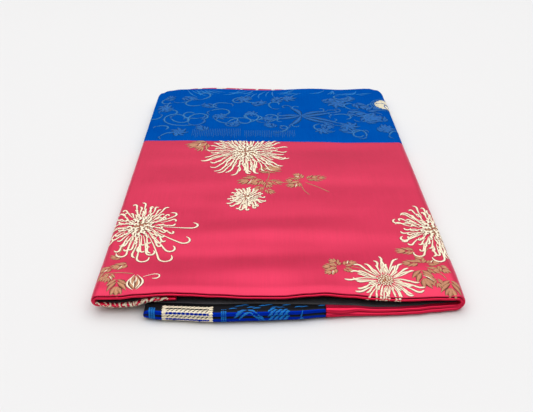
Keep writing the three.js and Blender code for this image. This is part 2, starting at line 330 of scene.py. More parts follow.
# Creases round the front edge: how deep the dent between its two rolls is, as a share of the edge's half
# height, and at how many degrees from the top it runs
TOP_EDGE_DENT = Table(
    "s dent angle",
    (-270, 0.15, 60), (-176, 0.30, 60), (-150, 0.60, 54), (-110, 0.64, 50), (-70, 0.62, 52),
    (-20, 0.64, 48), (10, 0.68, 44), (36, 0.60, 50), (70, 0.64, 48), (110, 0.58, 54), (150, 0.64, 48),
    (172, 0.34, 60),
)
BOTTOM_EDGE_DENT = Table(
    "x dent angle",
    (-118, 0.16, 100), (-100, 0.24, 104), (-60, 0.28, 106), (-20, 0.30, 106), (14, 0.32, 106),
    (40, 0.34, 110), (56, 0.26, 96), (72, 0.42, 122), (90, 0.40, 116), (104, 0.44, 124), (130, 0.42, 122),
    (150, 0.36, 118), (165, 0.24, 110),
)
DENT_WIDTH = math.radians(19)
ROLL = 0.12


def edge_dent(s, angle):
    """The front edge's crease as a share of its radius, and its middle. The angle is 0 on the outer side."""
    x = skin(s, 0.0 * s)[0]
    past_right = fold_shares(s, 0.0 * s)[1]
    dent = mix(TOP_EDGE_DENT.at(s, "dent"), BOTTOM_EDGE_DENT.at(x, "dent"), past_right)
    middle = np.radians(mix(TOP_EDGE_DENT.at(s, "angle"), BOTTOM_EDGE_DENT.at(x, "angle"), past_right))
    return dent * bump(angle, middle, DENT_WIDTH), middle


def edge_bulge(s, angle):
    """How the front edge's radius swells and dents round it."""
    dent, middle = edge_dent(s, angle)
    return 1 - dent + ROLL * bump(angle, middle + 2.4 * DENT_WIDTH, 1.5 * DENT_WIDTH)


def cloth_point(s, v, under=0.0):
    """Points of the cloth, in metres in the part's frame. s is the length along the cloth. v is the depth on
    the outer side, and goes on below the front edge's centre round the edge and into the inner side. The
    points lie some way under the skin that shows there."""
    s, v = np.broadcast_arrays(np.asarray(s, float), np.asarray(v, float))
    half = edge_half(s)
    centre = front_line(s) + half
    turn = math.pi * half
    round_edge = (v < centre) & (v >= centre - turn)
    inner = v < centre - turn
    angle = np.clip((centre - v) / half, 0, math.pi)
    radius = (half - under) * np.where(round_edge, edge_bulge(s, angle), 1.0)
    y_at = np.where(inner, centre + (centre - turn - v), np.where(round_edge, centre, v))
    y_held = np.maximum(y_at, 0.0)
    x, z = skin(s, y_held)
    nx, nz = outward(s, y_held)
    open_at = open_half(s, y_held)
    half_at = half_thickness(s, y_held)
    depth_edge = open_half(s, 0.0 * s) - radius * np.cos(angle)
    depth_flat = np.where(inner, open_at + half_at - under, open_at - half_at + under)
    depth = np.where(round_edge, depth_edge, depth_flat)
    y = np.where(round_edge, centre - radius * np.sin(angle), y_at)
    return np.stack([x - nx * depth, y - ORIGIN_Y, z - nz * depth], axis=-1) * MM


def inner_v(s, y):
    """The v of a depth y on the inner side."""
    centre = edge_centre(s)
    return centre - math.pi * edge_half(s) - (y - centre)


# The cloth has five stretches: 0 flap, 1 left fold, 2 top, 3 right fold, 4 bottom. A place on them is a
# number whose whole part names the stretch.


def length_at(place, y):
    """The length along the cloth of a place, at a depth."""
    place, y = np.broadcast_arrays(np.asarray(place, float), np.asarray(y, float))
    fold = Fold(np.maximum(y, 0.0))
    flap = fold.flap_turn() - (FLAP_END - fold.left_x) * (1 - place)
    left = fold.left_x - math.pi * fold.left_radius * (2 - place)
    top = mix(fold.left_x, fold.right_x, place - 2)
    right = fold.right_x + math.pi * fold.right_radius * (place - 3)
    bottom = fold.bottom_turn() + (fold.right_x - BOTTOM_END) * (place - 4)
    return np.select([place < 1, place < 2, place < 3, place < 4], [flap, left, top, right], bottom)


def bottom_place(x):
    right_x = float(Fold(np.array(0.0)).right_x)
    return 4 + (x - right_x) / (BOTTOM_END - right_x)


def places_between(start, end, step):
    """Places across the cloth, closer together on the folds and at its rounded ends."""
    fold = Fold(np.array(0.0))
    flap_width = FLAP_END - float(fold.left_x)
    top_width = float(fold.right_x - fold.left_x)
    bottom_width = float(fold.right_x) - BOTTOM_END
    flap = spaced(flap_width, step, END_PINCH, 0)
    bottom = spaced(bottom_width, step, 0, END_PINCH)
    top = spaced(top_width, step, FOLD_MARGIN, FOLD_MARGIN)
    folds = np.linspace(0, 1, FOLD_STEPS)
    every = np.concatenate([flap, 1 + folds, 2 + top, 3 + folds, 4 + bottom])
    inside = np.unique(np.round(every[(every > start + 0.002) & (every < end - 0.002)], 6))
    return np.concatenate([[start], inside, [end]])


def spaced(length, step, fine_start, fine_end):
    """Shares from 0 to 1 of a length, in steps that are finer near its ends where that is asked for."""
    marks = [0.0]
    while marks[-1] < length - 0.01:
        here = marks[-1]
        fine = here < fine_start or here > length - fine_end - step
        marks.append(min(here + (step / 4 if fine else step), length))
    return np.array(marks) / length


# Lengths along the cloth of its two ends and of the side seam
FLAP_START = float(length_at(0.0, 0.0))
SIDE_SEAM_LENGTH = float(length_at(bottom_place(SIDE_SEAM), 0.0))
BOTTOM_FINISH = float(length_at(5.0, 0.0))


# Making meshes


def outer_row(places, y):
    y = y + 0.0 * places
    return length_at(places, y), y


def edge_row(places, share):
    s = length_at(places, 0.0)
    return s, edge_v(s, share)


def inner_row(places, y):
    s = length_at(places, y)
    return s, inner_v(s, y)


def shares(*runs):
    """Rising shares from 0 to 1 over runs of (count, step)."""
    marks = np.concatenate([[0.0], np.cumsum(np.concatenate([np.full(count, step) for count, step in runs]))])
    return marks / marks[-1]


def lining_start(s):
    x = skin(s, 0.0 * s)[0]
    past_left, past_right = fold_shares(s, 0.0 * s)
    top = mix(FLAP_TURN_IN, TOP_TURN_IN, past_left)
    return edge_centre(s) + mix(top, BOTTOM_FRONT.at(x, "turn_in"), past_right)


def turned_rows(places):
    """The face where it turns round the front edge and in towards the lining."""
    s = length_at(places, 0.0)
    inner = [inner_row(places, mix(edge_centre(s), lining_start(s), share)) for share in (1.0, 0.6, 0.25)]
    return inner + [edge_row(places, 1 - k / EDGE_ROWS) for k in range(EDGE_ROWS + 1)]


def closed_sheet(name, rows, material, node, dips=None):
    """A closed sheet in the place of a node, from rows of (s, v): the side that shows, the same under it, and
    a rim."""
    s = np.stack([row[0] for row in rows])
    v = np.stack([row[1] for row in rows])
    dip = 0.0 * s if dips is None else dips(s, v)
    outer = cloth_point(s, v, dip).reshape(-1, 3)
    under = cloth_point(s, v, dip + SHEET_THICKNESS).reshape(-1, 3)
    count = len(outer)
    index = np.arange(count).reshape(s.shape)
    a, b, c, d = index[:-1, :-1], index[:-1, 1:], index[1:, 1:], index[1:, :-1]
    top = np.stack([a, b, c, d], axis=-1).reshape(-1, 4)
    low = np.stack([a, d, c, b], axis=-1).reshape(-1, 4) + count
    rim = np.concatenate([index[0, :], index[1:, -1], index[-1, -2::-1], index[-2:0:-1, 0]])
    after = np.roll(rim, -1)
    sides = np.stack([rim, rim + count, after + count, after], axis=-1)
    uv = np.stack([s, v], axis=-1).reshape(-1, 2) * MM
    points = np.concatenate([outer, under])
    piece = new_object(name, points, np.concatenate([top, low, sides]), material, np.concatenate([uv, uv]))
    half = edge_half(s)
    past = edge_centre(s) - v
    for attribute, values in (("edge", past / (math.pi * half)), ("crease", edge_dent(s, past / half)[0])):
        add_values(piece, attribute, [values.ravel(), values.ravel()])
    outward_faces(piece)
    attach(piece, BODY)
    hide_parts(node)


def add_values(piece, name, values):
    """Keeps a number at each point of a piece, which its material reads by name."""
    layer = piece.data.attributes.new(name, "FLOAT", "POINT")
    layer.data.foreach_set("value", np.concatenate(values).astype(np.float32))


def new_object(name, points, faces, material, uv):
    mesh = bpy.data.meshes.new(name)
    mesh.from_pydata(points.tolist(), [], faces.tolist())
    layer = mesh.uv_layers.new(name=UV_NAME)
    corners = np.zeros(len(mesh.loops), dtype=np.int32)
    mesh.loops.foreach_get("vertex_index", corners)
    layer.data.foreach_set("uv", uv[corners].astype(np.float32).ravel())
    mesh.polygons.foreach_set("use_smooth", np.ones(len(mesh.polygons), dtype=bool))
    mesh.update()
    piece = bpy.data.objects.new(name, mesh)
    bpy.context.scene.collection.objects.link(piece)
    mesh.materials.append(material)
    return piece


def outward_faces(piece):
    work = bmesh.new()
    work.from_mesh(piece.data)
    bmesh.ops.recalc_face_normals(work, faces=work.faces)
    work.to_mesh(piece.data)
    work.free()


# Woven motifs: their places are (s, v) in millimetres on the cloth
EDGE_LIFT = 0.06
CROWN_LIFT = 0.24
CROWN_SHARE = 0.14
SUNK = 0.2
REGION_STEP = 1.5
END_MARGIN = 2.0
SIDE_MARGIN = 0.4
SEAM_MARGIN = 0.5
BACK_MARGIN = 1.0
HOOK_START = 0.58
LONG_PETAL_WIDTH = 2.8
CRESCENT_STEP = 3.2
CRESCENT_SPACING = 4.9
CRESCENT_LENGTH = 6.0
CRESCENT_WIDTH = 3.7
SEED_SPACING = 1.12
SEED_LENGTH = 1.9
SEED_WIDTH = 2.4

# How wide a stroke is along its path: share of the path, and share of its width
PETAL = ((0, 0.3), (0.35, 0.6), (0.7, 1.0), (0.9, 1.05), (1, 0.35))
LENS = ((0, 0.12), (0.25, 0.80), (0.45, 1.0), (0.75, 0.55), (1, 0.05))
LINE = ((0, 0.4), (0.1, 1.0), (0.9, 1.0), (1, 0.3))
BAR = ((0, 1.0), (1, 1.0))
CRESCENT = ((0, 0.55), (0.4, 1.0), (0.7, 1.0), (1, 0.5))


class Region:
    """A part of the cloth that a motif stays on: between two lengths, and between two lines of depth."""

    def __init__(self, s_low, s_high, v_low, v_high):
        self.s = np.arange(s_low, s_high, REGION_STEP)
        self.v_low, self.v_high = v_low(self.s), v_high(self.s)

    def held(self, path):
        s = np.clip(path[:, 0], self.s[0], self.s[-1])
        low, high = (np.interp(s, self.s, line) for line in (self.v_low, self.v_high))
        return np.stack([s, np.clip(path[:, 1], low, high)], axis=-1)

    def runs(self, path):
        """The runs of a path's points that are inside, each with one more point at a cut end."""
        inside = np.all(np.isclose(self.held(path), path), axis=1)
        edges = np.flatnonzero(np.diff(np.concatenate([[0], inside.astype(int), [0]])))
        for first, after in zip(edges[::2], edges[1::2]):
            if after - first >= 3:
                yield slice(max(first - 1, 0), min(after + 1, len(path)))


class Threads:
    """Gathers strokes of woven thread and makes one piece of them. A stroke is a low ribbon on the cloth:
    its edges lie just over the skin, its middle is crowned, and its underside is sunk."""

    def __init__(self, seed, region):
        self.rng = np.random.default_rng(seed)
        self.region = region
        self.points, self.faces, self.tones, self.acrosses, self.count = [], [], [], [], 0

    def stroke(self, path, profile, width, tone=0.5, lift=0.0):
        share, size = np.array(profile).T
        half = width / 2 * np.interp(np.linspace(0, 1, len(path)), share, size)
        for run in self.region.runs(path):
            self._ribbon(path[run], half[run], tone, lift)

    def _ribbon(self, path, half, tone, lift):
        heading = np.gradient(path, axis=0)
        heading /= np.maximum(np.hypot(heading[:, 0], heading[:, 1]), 1e-6)[:, None]
        side = np.stack([-heading[:, 1], heading[:, 0]], axis=-1) * half[:, None]
        crown = EDGE_LIFT + np.minimum(CROWN_LIFT, CROWN_SHARE * half)
        section = [
            (self.region.held(path + side), EDGE_LIFT + lift), (self.region.held(path), crown + lift),
            (self.region.held(path - side), EDGE_LIFT + lift), (self.region.held(path), -SUNK),
        ]
        flat = [np.column_stack([place, rise + 0.0 * half]) for place, rise in section]
        count = len(path)
        self.points.append(np.stack(flat, axis=1).reshape(-1, 3))
        self.tones.append(np.full(4 * count, tone))
        self.acrosses.append(np.tile([1.0, 0.0, 1.0, 0.0], count))
        first = self.count + 4 * np.arange(count - 1)[:, None]
        quads = [first + np.array([a, b, b + 4, a + 4]) for a, b in ((0, 1), (1, 2), (2, 3), (3, 0))]
        ends = np.array([[0, 3, 2, 1]]) + self.count, np.array([[0, 1, 2, 3]]) + self.count + 4 * (count - 1)
        self.faces.extend([*quads, *ends])
        self.count += 4 * count

    def make(self, name, material, slot):
        points = np.concatenate(self.points)
        s, v, lift = points.T
        uv = np.stack([s, v], axis=-1) * MM
        piece = new_object(name, cloth_point(s, v, -lift), np.concatenate(self.faces), material, uv)
        add_values(piece, "tone", self.tones)
        add_values(piece, "across", self.acrosses)
        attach(piece, BODY)


class Stretched:
    """Threads whose strokes are drawn out along the depth about a place."""

    def __init__(self, threads, depth, share):
        self.threads, self.depth, self.share, self.rng = threads, depth, share, threads.rng

    def stroke(self, path, *stroke_look):
        longer = np.stack([path[:, 0], self.depth + self.share * (path[:, 1] - self.depth)], axis=-1)
        self.threads.stroke(longer, *stroke_look)


def curve(start, heading, length, turned, points):
    """A path that sets out at a heading and has turned by turned(share) along it."""
    share = np.linspace(0, 1, points)
    headings = heading + turned(share)
    steps = np.stack([np.cos(headings), np.sin(headings)], axis=-1)[:-1] * length / (points - 1)
    return np.asarray(start, float) + np.concatenate([[[0.0, 0.0]], np.cumsum(steps, axis=0)])


def away_from(centre, heading, distance):
    return (centre[0] + distance * math.cos(heading), centre[1] + distance * math.sin(heading))


def petal(threads, start, heading, length, bend, hook, width, lift, points=14):
    """A petal that bends along its length and hooks round at its tip."""
    def turned(t):
        return bend * t + hook * ease((t - HOOK_START) / (1 - HOOK_START))

    tone = threads.rng.uniform(0, 1)
    threads.stroke(curve(start, heading, length, turned, points), PETAL, width, tone, lift)


# Rings of a flower head, as shares of its reach: where its petals start and how long they are, how many
# there are, how wide in millimetres, how far they hook round in radians, and how far they lie over the cloth
CURLED_RINGS = (
    (0.58, 0.50, 23, 3.0, 3.5, 0.00),
    (0.48, 0.42, 24, 2.9, 3.3, 0.05),
    (0.39, 0.34, 22, 2.8, 3.0, 0.10),
    (0.30, 0.28, 19, 2.7, 2.7, 0.15),
    (0.22, 0.20, 14, 2.6, 2.4, 0.20),
)
FULL_RINGS = (
    (0.50, 0.54, 40, 3.0, 1.9, 0.00),
    (0.38, 0.44, 40, 3.0, 1.9, 0.05),
    (0.27, 0.34, 34, 3.0, 1.9, 0.10),
    (0.17, 0.26, 24, 2.8, 2.2, 0.15),
)
OPEN_RINGS = (
    (0.32, 0.76, 24, 2.9, 1.8, 0.00),
    (0.26, 0.56, 23, 2.6, 0.9, 0.05),
    (0.22, 0.30, 22, 2.0, 0.5, 0.10),
)


def flower(threads, centre, reach, rings, droop):
    """A flower head. Its upper petals curl over and its lower ones hang and curl up again."""
    rng = threads.rng
    for start, length, count, width, hook, lift in rings:
        turn = rng.uniform(0, 1)
        for k in range(count):
            angle = 2 * math.pi * (k + turn + rng.uniform(-0.3, 0.3)) / count
            across, up = math.cos(angle), math.sin(angle)
            side = 1.0 if across > 0 else -1.0
            curl = side * (1.0 if up < 0.2 else -0.85)
            fall = 1 + droop * max(0.0, -up)
            size = reach * length * fall * rng.uniform(0.72, 1.12)
            hooked = curl * hook * rng.uniform(0.45, 1.15)
            begin = (centre[0] + reach * start * across, centre[1] + reach * start * up)
            bend = -0.8 * curl * rng.uniform(0.1, 1.5)
            petal(threads, begin, angle, size, bend, hooked, width, lift + rng.uniform(0, 0.04))


def disc(threads, centre, radius, pitch=2.0):
    """A filled disc: one stroke wound round and round."""
    turned = np.sqrt(np.linspace(0, 1, 60)) * 2 * math.pi * radius / pitch
    away = pitch * turned / (2 * math.pi)
    path = np.stack([centre[0] + away * np.cos(turned), centre[1] + away * np.sin(turned)], axis=-1)
    threads.stroke(path, BAR, pitch * 1.3, 0.7, 0.08)


def curled_heart(cream, brown, centre, radius):
    """Small crescents, packed in rings at the middle of a flower head."""
    disc(brown, centre, 0.8 * radius)
    for ring in range(int(radius / CRESCENT_STEP) + 1):
        away = CRESCENT_STEP * ring
        count = max(1, math.ceil(2 * math.pi * away / CRESCENT_SPACING))
        for k in range(count):
            angle = 2 * math.pi * k / count + 0.5 * ring
            path = curve(away_from(centre, angle, away), angle - 1.5, CRESCENT_LENGTH, lambda t: 2.9 * t, 9)
            cream.stroke(path, CRESCENT, CRESCENT_WIDTH, 0.0, 0.36 + 0.03 * (k % 3))


def seeded_heart(cream, brown, centre, radius):
    """A disc of small seeds in a spiral."""
    disc(brown, centre, radius)
    count = int((radius / SEED_SPACING) ** 2)
    for k in range(count):
        angle = 2.4 * k
        middle = away_from(centre, angle, radius * math.sqrt((k + 0.5) / count))
        path = curve(middle, angle, SEED_LENGTH, lambda t: 0.0 * t, 4)
        cream.stroke(path, LENS, SEED_WIDTH, cream.rng.uniform(0, 0.7), 0.30)


# Pairs of lobes of a leaf: share of the way along its spine, splay in radians, and share of its length
LOBES = ((0.10, 0.95, 0.40), (0.30, 0.75, 0.50), (0.52, 0.55, 0.44))


def leaf(brown, cream, base, heading, length, width, bend):
    """A lobed leaf: pairs of pointed lobes along a bent spine and one at its tip, with gaps for the veins."""
    spine = curve(base, heading, length, lambda t: bend * t, 9)
    for share, splay, size in LOBES:
        at = int(round(share * 8))
        for side in (-1, 1):
            out = heading + bend * share + side * splay
            begin = spine[at] + 0.55 * np.array([math.cos(out), math.sin(out)])
            long = length * size * brown.rng.uniform(1.0, 1.3)
            lobe = curve(begin, out, long, lambda t: -0.45 * side * t, 8)
            brown.stroke(lobe, LENS, width * 0.38, brown.rng.uniform(0, 1))
    begin = spine[4] + 0.2 * (spine[5] - spine[4])
    tip = curve(begin, heading + 0.5 * bend, length * 0.52, lambda t: 0.5 * bend * t, 9)
    brown.stroke(tip, LENS, width * 0.46, brown.rng.uniform(0, 1))
    if brown.rng.uniform() < 0.4:
        light = curve(spine[3], heading + 0.9 + 0.3 * bend, length * 0.42, lambda t: -0.5 * t, 8)
        cream.stroke(light, LENS, 1.5, 0.5, 0.14)


def stem(threads, start, end, bow, width):
    start, end = np.array(start, float), np.array(end, float)
    share = np.linspace(0, 1, 12)[:, None]
    across = np.array([-(end - start)[1], (end - start)[0]])
    path = start + share * (end - start) + np.sin(math.pi * share) * bow * across
    threads.stroke(path, LINE, width, threads.rng.uniform(0, 1))


# Petals of a closed bud: how far they bow out, where they begin and end along it, and their width. The first
# two are its darker ground.
BUD_PETALS = (
    (-0.4, -0.9, 0.9, 6.5), (0.4, -0.9, 0.9, 6.5), (-1.0, -1.0, 0.9, 2.7), (1.0, -1.0, 1.0, 2.9),
    (-0.58, -0.5, 1.05, 2.1), (0.55, -0.85, 0.6, 2.2), (-0.15, -0.75, 0.25, 2.0), (0.15, -0.1, 0.85, 1.9),
)


def bud(cream, brown, centre, long, wide, turn):
    """A closed bud: petals that bow out to either side of its middle, over a darker ground."""
    share = np.linspace(0, 1, 14)
    for k, (bow, begin, end, width) in enumerate(BUD_PETALS):
        threads = brown if k < 2 else cream
        along = mix(begin, end, share) * long
        across = bow * wide * np.sin(math.pi * (0.06 + 0.90 * share))
        path = np.stack([
            centre[0] + across * math.cos(turn) - along * math.sin(turn),
            centre[1] + across * math.sin(turn) + along * math.cos(turn),
        ], axis=-1)
        threads.stroke(path, LENS, width, 0.3, 0.0 if threads is brown else 0.14 + 0.03 * abs(bow))


# Flower heads: length along the cloth, depth, reach, droop, stretch along the depth
CURLED_HEADS = ((-137, 114, 34, 0.35, 1.35), (158, 105, 35, 0.3, 1.3), (-31, 173, 19, 0.7, 1.1))
FULL_HEADS = ((-33, 283, 52, 0.1, 1.2),)
OPEN_HEADS = ((96, 21, 33, 0.1, 1.0),)
# Flower heads of the flap and of the bottom layer: length along the cloth, depth, reach, rings and droop
HIDDEN_HEADS = (
    (-206, 16, 34, CURLED_RINGS, 0.4), (-212, 122, 30, CURLED_RINGS, 0.4), (-208, 240, 34, CURLED_RINGS, 0.4),
    (244, 60, 34, CURLED_RINGS, 0.4), (228, 168, 30, OPEN_RINGS, 0.2), (250, 262, 38, FULL_RINGS, 0.1),
    (196, 284, 26, CURLED_RINGS, 0.4),
)
# Lengths along the cloth between which it shows on top
SHOWN = (-195, 215)
# Long petals: length along the cloth and depth of the root, heading in degrees, length, bend, hook
LONG_PETALS = (
    (-118, 113, 350, 50, 0.15, 2.8), (-128, 98, 296, 68, -0.3, 3.4), (-136, 96, 280, 60, -0.3, 3.4),
    (-142, 96, 262, 48, 0.3, -3.2), (-122, 104, 318, 54, 0.3, 3.0), (-124, 120, 30, 36, 0.3, 2.6),
    (-132, 96, 286, 46, -0.2, 3.6), (-126, 100, 306, 52, -0.2, 3.4), (160, 90, 262, 56, 0.2, -3.2),
    (150, 92, 248, 50, 0.2, -3.2), (146, 98, 216, 34, -0.2, -3.0), (158, 90, 275, 46, 0.2, 3.2),
    (146, 114, 168, 34, 0.3, -2.6), (150, 118, 130, 32, -0.2, 2.4),
)
# Leaves: length along the cloth and depth of the stalk's end, heading in degrees, length, width, bend
LEAVES = (
    (-138, 47, 200, 17, 13, 0.2), (-146, 58, 170, 12, 9, 0.2), (-152, 40, 205, 13, 10, -0.3),
    (-157, 34, 255, 14, 9, 0.2), (-152, 33, 262, 15, 9, -0.2), (-145, 26, 272, 27, 15, 0.2),
    (56, 40, 108, 16, 11, 0.3), (56, 40, 175, 15, 11, 0.2), (54, 38, 225, 15, 11, -0.2),
    (60, 41, 40, 15, 10, -0.3), (60, 38, 320, 10, 8, 0.3),
    (133, 67, 175, 20, 12, 0.1), (132, 46, 178, 17, 11, 0.2), (134, 44, 90, 15, 10, 0.3),
    (137, 44, 20, 14, 10, -0.3), (136, 38, 330, 13, 9, 0.3), (131, 38, 268, 28, 16, 0.5),
    (149, 43, 290, 14, 11, 0.2), (143, 25, 265, 15, 8, 0.4), (155, 24, 265, 26, 14, -0.3),
    (-80, 312, 205, 30, 15, 0.1), (-80, 308, 235, 26, 11, 0.2), (-84, 303, 186, 22, 9, 0.2),
    (-16, 216, 200, 28, 15, 0.25), (-12, 212, 215, 18, 11, 0.2), (-10, 209, 280, 16, 9, 0.3),
    (-8, 209, 340, 18, 7, 0.2), (-14, 198, 240, 14, 9, -0.3), (-10, 192, 300, 14, 8, 0.3),
    (-22, 232, 15, 30, 11, -0.3),
    (31, 212, 110, 15, 10, 0.3), (30, 210, 178, 18, 8, 0.2), (30, 208, 222, 20, 12, -0.2),
    (35, 212, 20, 16, 9, 0.1), (40, 213, 8, 20, 7, 0.1),
)
# Stems: start and end, bow, width
STEMS = (
    (-156, 31, -131, 30, 0.08, 1.3), (-10, 212, 30, 209, -0.12, 1.1), (34, 206, 60, 183, 0.05, 1.3),
    (30, 204, 38, 177, -0.08, 1.1), (-8, 236, -10, 206, 0.1, 1.2), (-12, 204, -18, 180, 0.1, 1.1),
    (66, 40, 84, 30, 0.1, 1.2), (134, 46, 146, 72, 0.08, 1.4), (136, 40, 152, 22, 0.1, 1.2),
    (-152, 62, -150, 86, -0.08, 1.3), (-84, 300, -66, 296, 0.1, 1.3),
)


def red_region():
    return Region(
        FLAP_START + END_MARGIN, SIDE_SEAM_LENGTH - SIDE_MARGIN,
        lambda s: inner_v(s, lining_start(s)) + SIDE_MARGIN, lambda s: end_seam(s) - SEAM_GAP,
    )


def blue_end_region():
    return Region(
        FLAP_START + END_MARGIN, SIDE_SEAM_LENGTH - SIDE_MARGIN,
        lambda s: end_seam(s) + SEAM_MARGIN, lambda s: back_line(s) - BACK_MARGIN,
    )


def blue_side_region():
    return Region(
        SIDE_SEAM_LENGTH + SIDE_MARGIN, BOTTOM_FINISH - END_MARGIN,
        lambda s: inner_v(s, lining_start(s)) + SIDE_MARGIN, lambda s: back_line(s) - BACK_MARGIN,
    )


def shown_flowers(cream, brown):
    """The flowers, leaves, stems and buds that show on the red panel."""
    for rows, rings, heart, heart_share in (
        (CURLED_HEADS, CURLED_RINGS, curled_heart, 0.30), (FULL_HEADS, FULL_RINGS, curled_heart, 0.30),
        (OPEN_HEADS, OPEN_RINGS, seeded_heart, 0.20),
    ):
        for s, v, reach, droop, stretch in rows:
            petals, ground = Stretched(cream, v, stretch), Stretched(brown, v, stretch)
            flower(petals, (s, v), reach, rings, droop)
            heart(petals, ground, (s, v), heart_share * reach)
    for s, v, heading, length, bend, hook in LONG_PETALS:
        petal(cream, (s, v), math.radians(heading), length, bend, hook, LONG_PETAL_WIDTH, 0.07, 26)
    for s, v, heading, length, width, bend in LEAVES:
        leaf(brown, cream, (s, v), math.radians(heading), length, width, bend)
    for s, v, end_s, end_v, bow, width in STEMS:
        stem(brown, (s, v), (end_s, end_v), bow, width)
    bud(cream, brown, (-128, 17), 11.5, 7.0, 0.1)
    tail = curve((-122, 25), 0.5, 26, lambda t: -0.6 * t - 3.4 * ease((t - 0.3) / 0.7), 16)
    cream.stroke(tail, PETAL, 2.0, 0.3)
    bud(brown, brown, (0, 240), 9, 5, 1)


def hidden_flowers(cream, brown):
    """The flowers of the flap and of the bottom layer, with leaves that stay off the top."""
    for s, v, reach, rings, droop in HIDDEN_HEADS:
        flower(cream, (s, v), reach, rings, droop)
        curled_heart(cream, brown, (s, v), 0.20 * reach)
        for k in range(4):
            heading = 1.2 + 1.6 * k
            base = away_from((s, v), heading, 0.9 * reach)
            if not SHOWN[0] < base[0] + 20 * math.cos(heading) < SHOWN[1]:
                leaf(brown, cream, base, heading, 19, 12, 0.3)


# Materials

# How the slubs of the satin are drawn out: across, along the depth
SLUB_STRETCH = (900, 26, 1)
# Charcoal bands of painted shade and dark reflection on the hem, by the angle round the front edge as a share
# of half a turn from its underside
HEM_SHADE_BANDS = ((-1.0, 0.26), (0.50, 0.66), (0.86, 9.0))
HEM_BLUR = 0.015
# Threads of the lining, in metres
LINING_PITCH = 0.0007


class Socket:
    """A node's output that can be reckoned with: each operation adds its Math node."""

    def __init__(self, tree, output):
        self.tree = tree
        self.output = output

    def _with(self, operation, *values):
        return self.tree.node("ShaderNodeMath", {"operation": operation}, dict(enumerate(values)))

    def __add__(self, other):
        return self._with("ADD", self, other)

    def __radd__(self, other):
        return self._with("ADD", other, self)

    def __sub__(self, other):
        return self._with("SUBTRACT", self, other)

    def __rsub__(self, other):
        return self._with("SUBTRACT", other, self)

    def __mul__(self, other):
        return self._with("MULTIPLY", self, other)

    def __rmul__(self, other):
        return self._with("MULTIPLY", other, self)

    def wave(self, pitch):
        """A smooth wave from -1 to 1 that repeats each pitch."""
        return self._with("SINE", self * (2 * math.pi / pitch))


class NodeTree:
    """Adds nodes to a material's or a world's tree."""

    def __init__(self, owner):
        owner.use_nodes = True
        self.tree = owner.node_tree
        self.tree.nodes.clear()

    def node(self, kind, settings=None, values=None, output=0):
        made = self.tree.nodes.new(kind)
        for name, value in (settings or {}).items():
            setattr(made, name, value)
        for name, value in (values or {}).items():
            if isinstance(value, Socket):
                self.tree.links.new(value.output, made.inputs[name])
            else:
                made.inputs[name].default_value = value
        return Socket(self, made.outputs[output]) if made.outputs else None

    def passage(self, value, start, end):
        """A smooth passage from 0 to 1 as a value goes from start to end."""
        return self.node(
            "ShaderNodeMapRange", {"interpolation_type": "SMOOTHSTEP"},
            {"Value": value, "From Min": start, "From Max": end},
        )

    def colour_mix(self, share, start, end):
        return self.node("ShaderNodeMix", {"data_type": "RGBA"}, {0: share, 6: start, 7: end}, output=2)

    def cloth_uv(self):
        return self.node("ShaderNodeUVMap", {"uv_map": UV_NAME})

    def part(self, vector, axis):
        return self.node("ShaderNodeSeparateXYZ", None, {0: vector}, output=axis)

    def value(self, name):
        """A number that the piece keeps at its points."""
        return self.node("ShaderNodeAttribute", {"attribute_name": name}, output=2)

    def noise(self, place, scale, detail):
        values = {"Vector": place, "Scale": scale, "Detail": detail}
        return self.node("ShaderNodeTexNoise", {"noise_dimensions": "2D"}, values)

    def bump(self, height, strength, distance):
        values = {"Strength": strength, "Distance": distance, "Height": height}
        return self.node("ShaderNodeBump", None, values)

    def surface(self, values):
        """The shader of a cloth, a thread or the floor, and the tree's output."""
        shader = self.node("ShaderNodeBsdfPrincipled", None, values)
        self.node("ShaderNodeOutputMaterial", None, {"Surface": shader})


def opaque(colour):
    return (colour[0], colour[1], colour[2], 1.0)


def satin(name, colour, sheen_colour, tint, gloss, metallic, bands=None, rim=None):
    """Woven satin: long floats along the depth, fine ribs across, slubs and soft clouds of tone. A rim
    colour, painted where it turns round the front edge, stands in for the brighter look the rolled edge takes
    in the light, and a far darker tone of it paints shade in the edge's crease."""
    material = bpy.data.materials.new(name)
    tree = NodeTree(material)
    cloth_uv = tree.cloth_uv()
    across = tree.part(cloth_uv, 0)
    slub_place = tree.node("ShaderNodeMapping", None, {"Vector": cloth_uv, "Scale": SLUB_STRETCH})
    slub = tree.noise(slub_place, 1.0, 3.0)
    cloud = tree.noise(cloth_uv, 24.0, 2.0)
    tone = slub * 0.6 + cloud * 0.6 - 0.1
    colours = tree.colour_mix(tone, opaque(colour), opaque(sheen_colour))
    if bands:
        colours = bands(tree, cloth_uv, colours)
    if rim:
        edge = tree.value("edge")
        crease = tree.value("crease")
        turned = tree.passage(edge, 0.12, 0.34) * tree.passage(edge, 1.2, 0.9)
        # Painted light: the rim colour stands in for the lit look of the rolled front edge
        colours = tree.colour_mix(turned, colours, opaque(rim))
        # Painted shade: a far darker tone of the rim colour along the edge's crease
        crease_shade = tree.passage(crease, 0.16, 0.5) * 0.85
        colours = tree.colour_mix(crease_shade, colours, opaque([0.2 * c for c in rim]))
        metallic = turned * 0.4 + metallic
    rib = across.wave(look().thread_pitch)
    height = rib * 0.5 + slub * 1.6
    tree.surface({
        "Base Color": colours, "Metallic": metallic, "Roughness": slub * 0.12 + look().satin_roughness,
        "Specular Tint": opaque(tint), "Specular IOR Level": gloss,
        "Normal": tree.bump(height, 0.35, 0.00006),
    })
    return material


def cream_flecks(tree, cloth_uv, ground):
    """Ends of cream motifs on the narrow red facing."""
    flecks = tree.noise(cloth_uv, 110.0, 2.0)
    return tree.colour_mix(tree.passage(flecks, 0.53, 0.58), ground, opaque(look().cream))


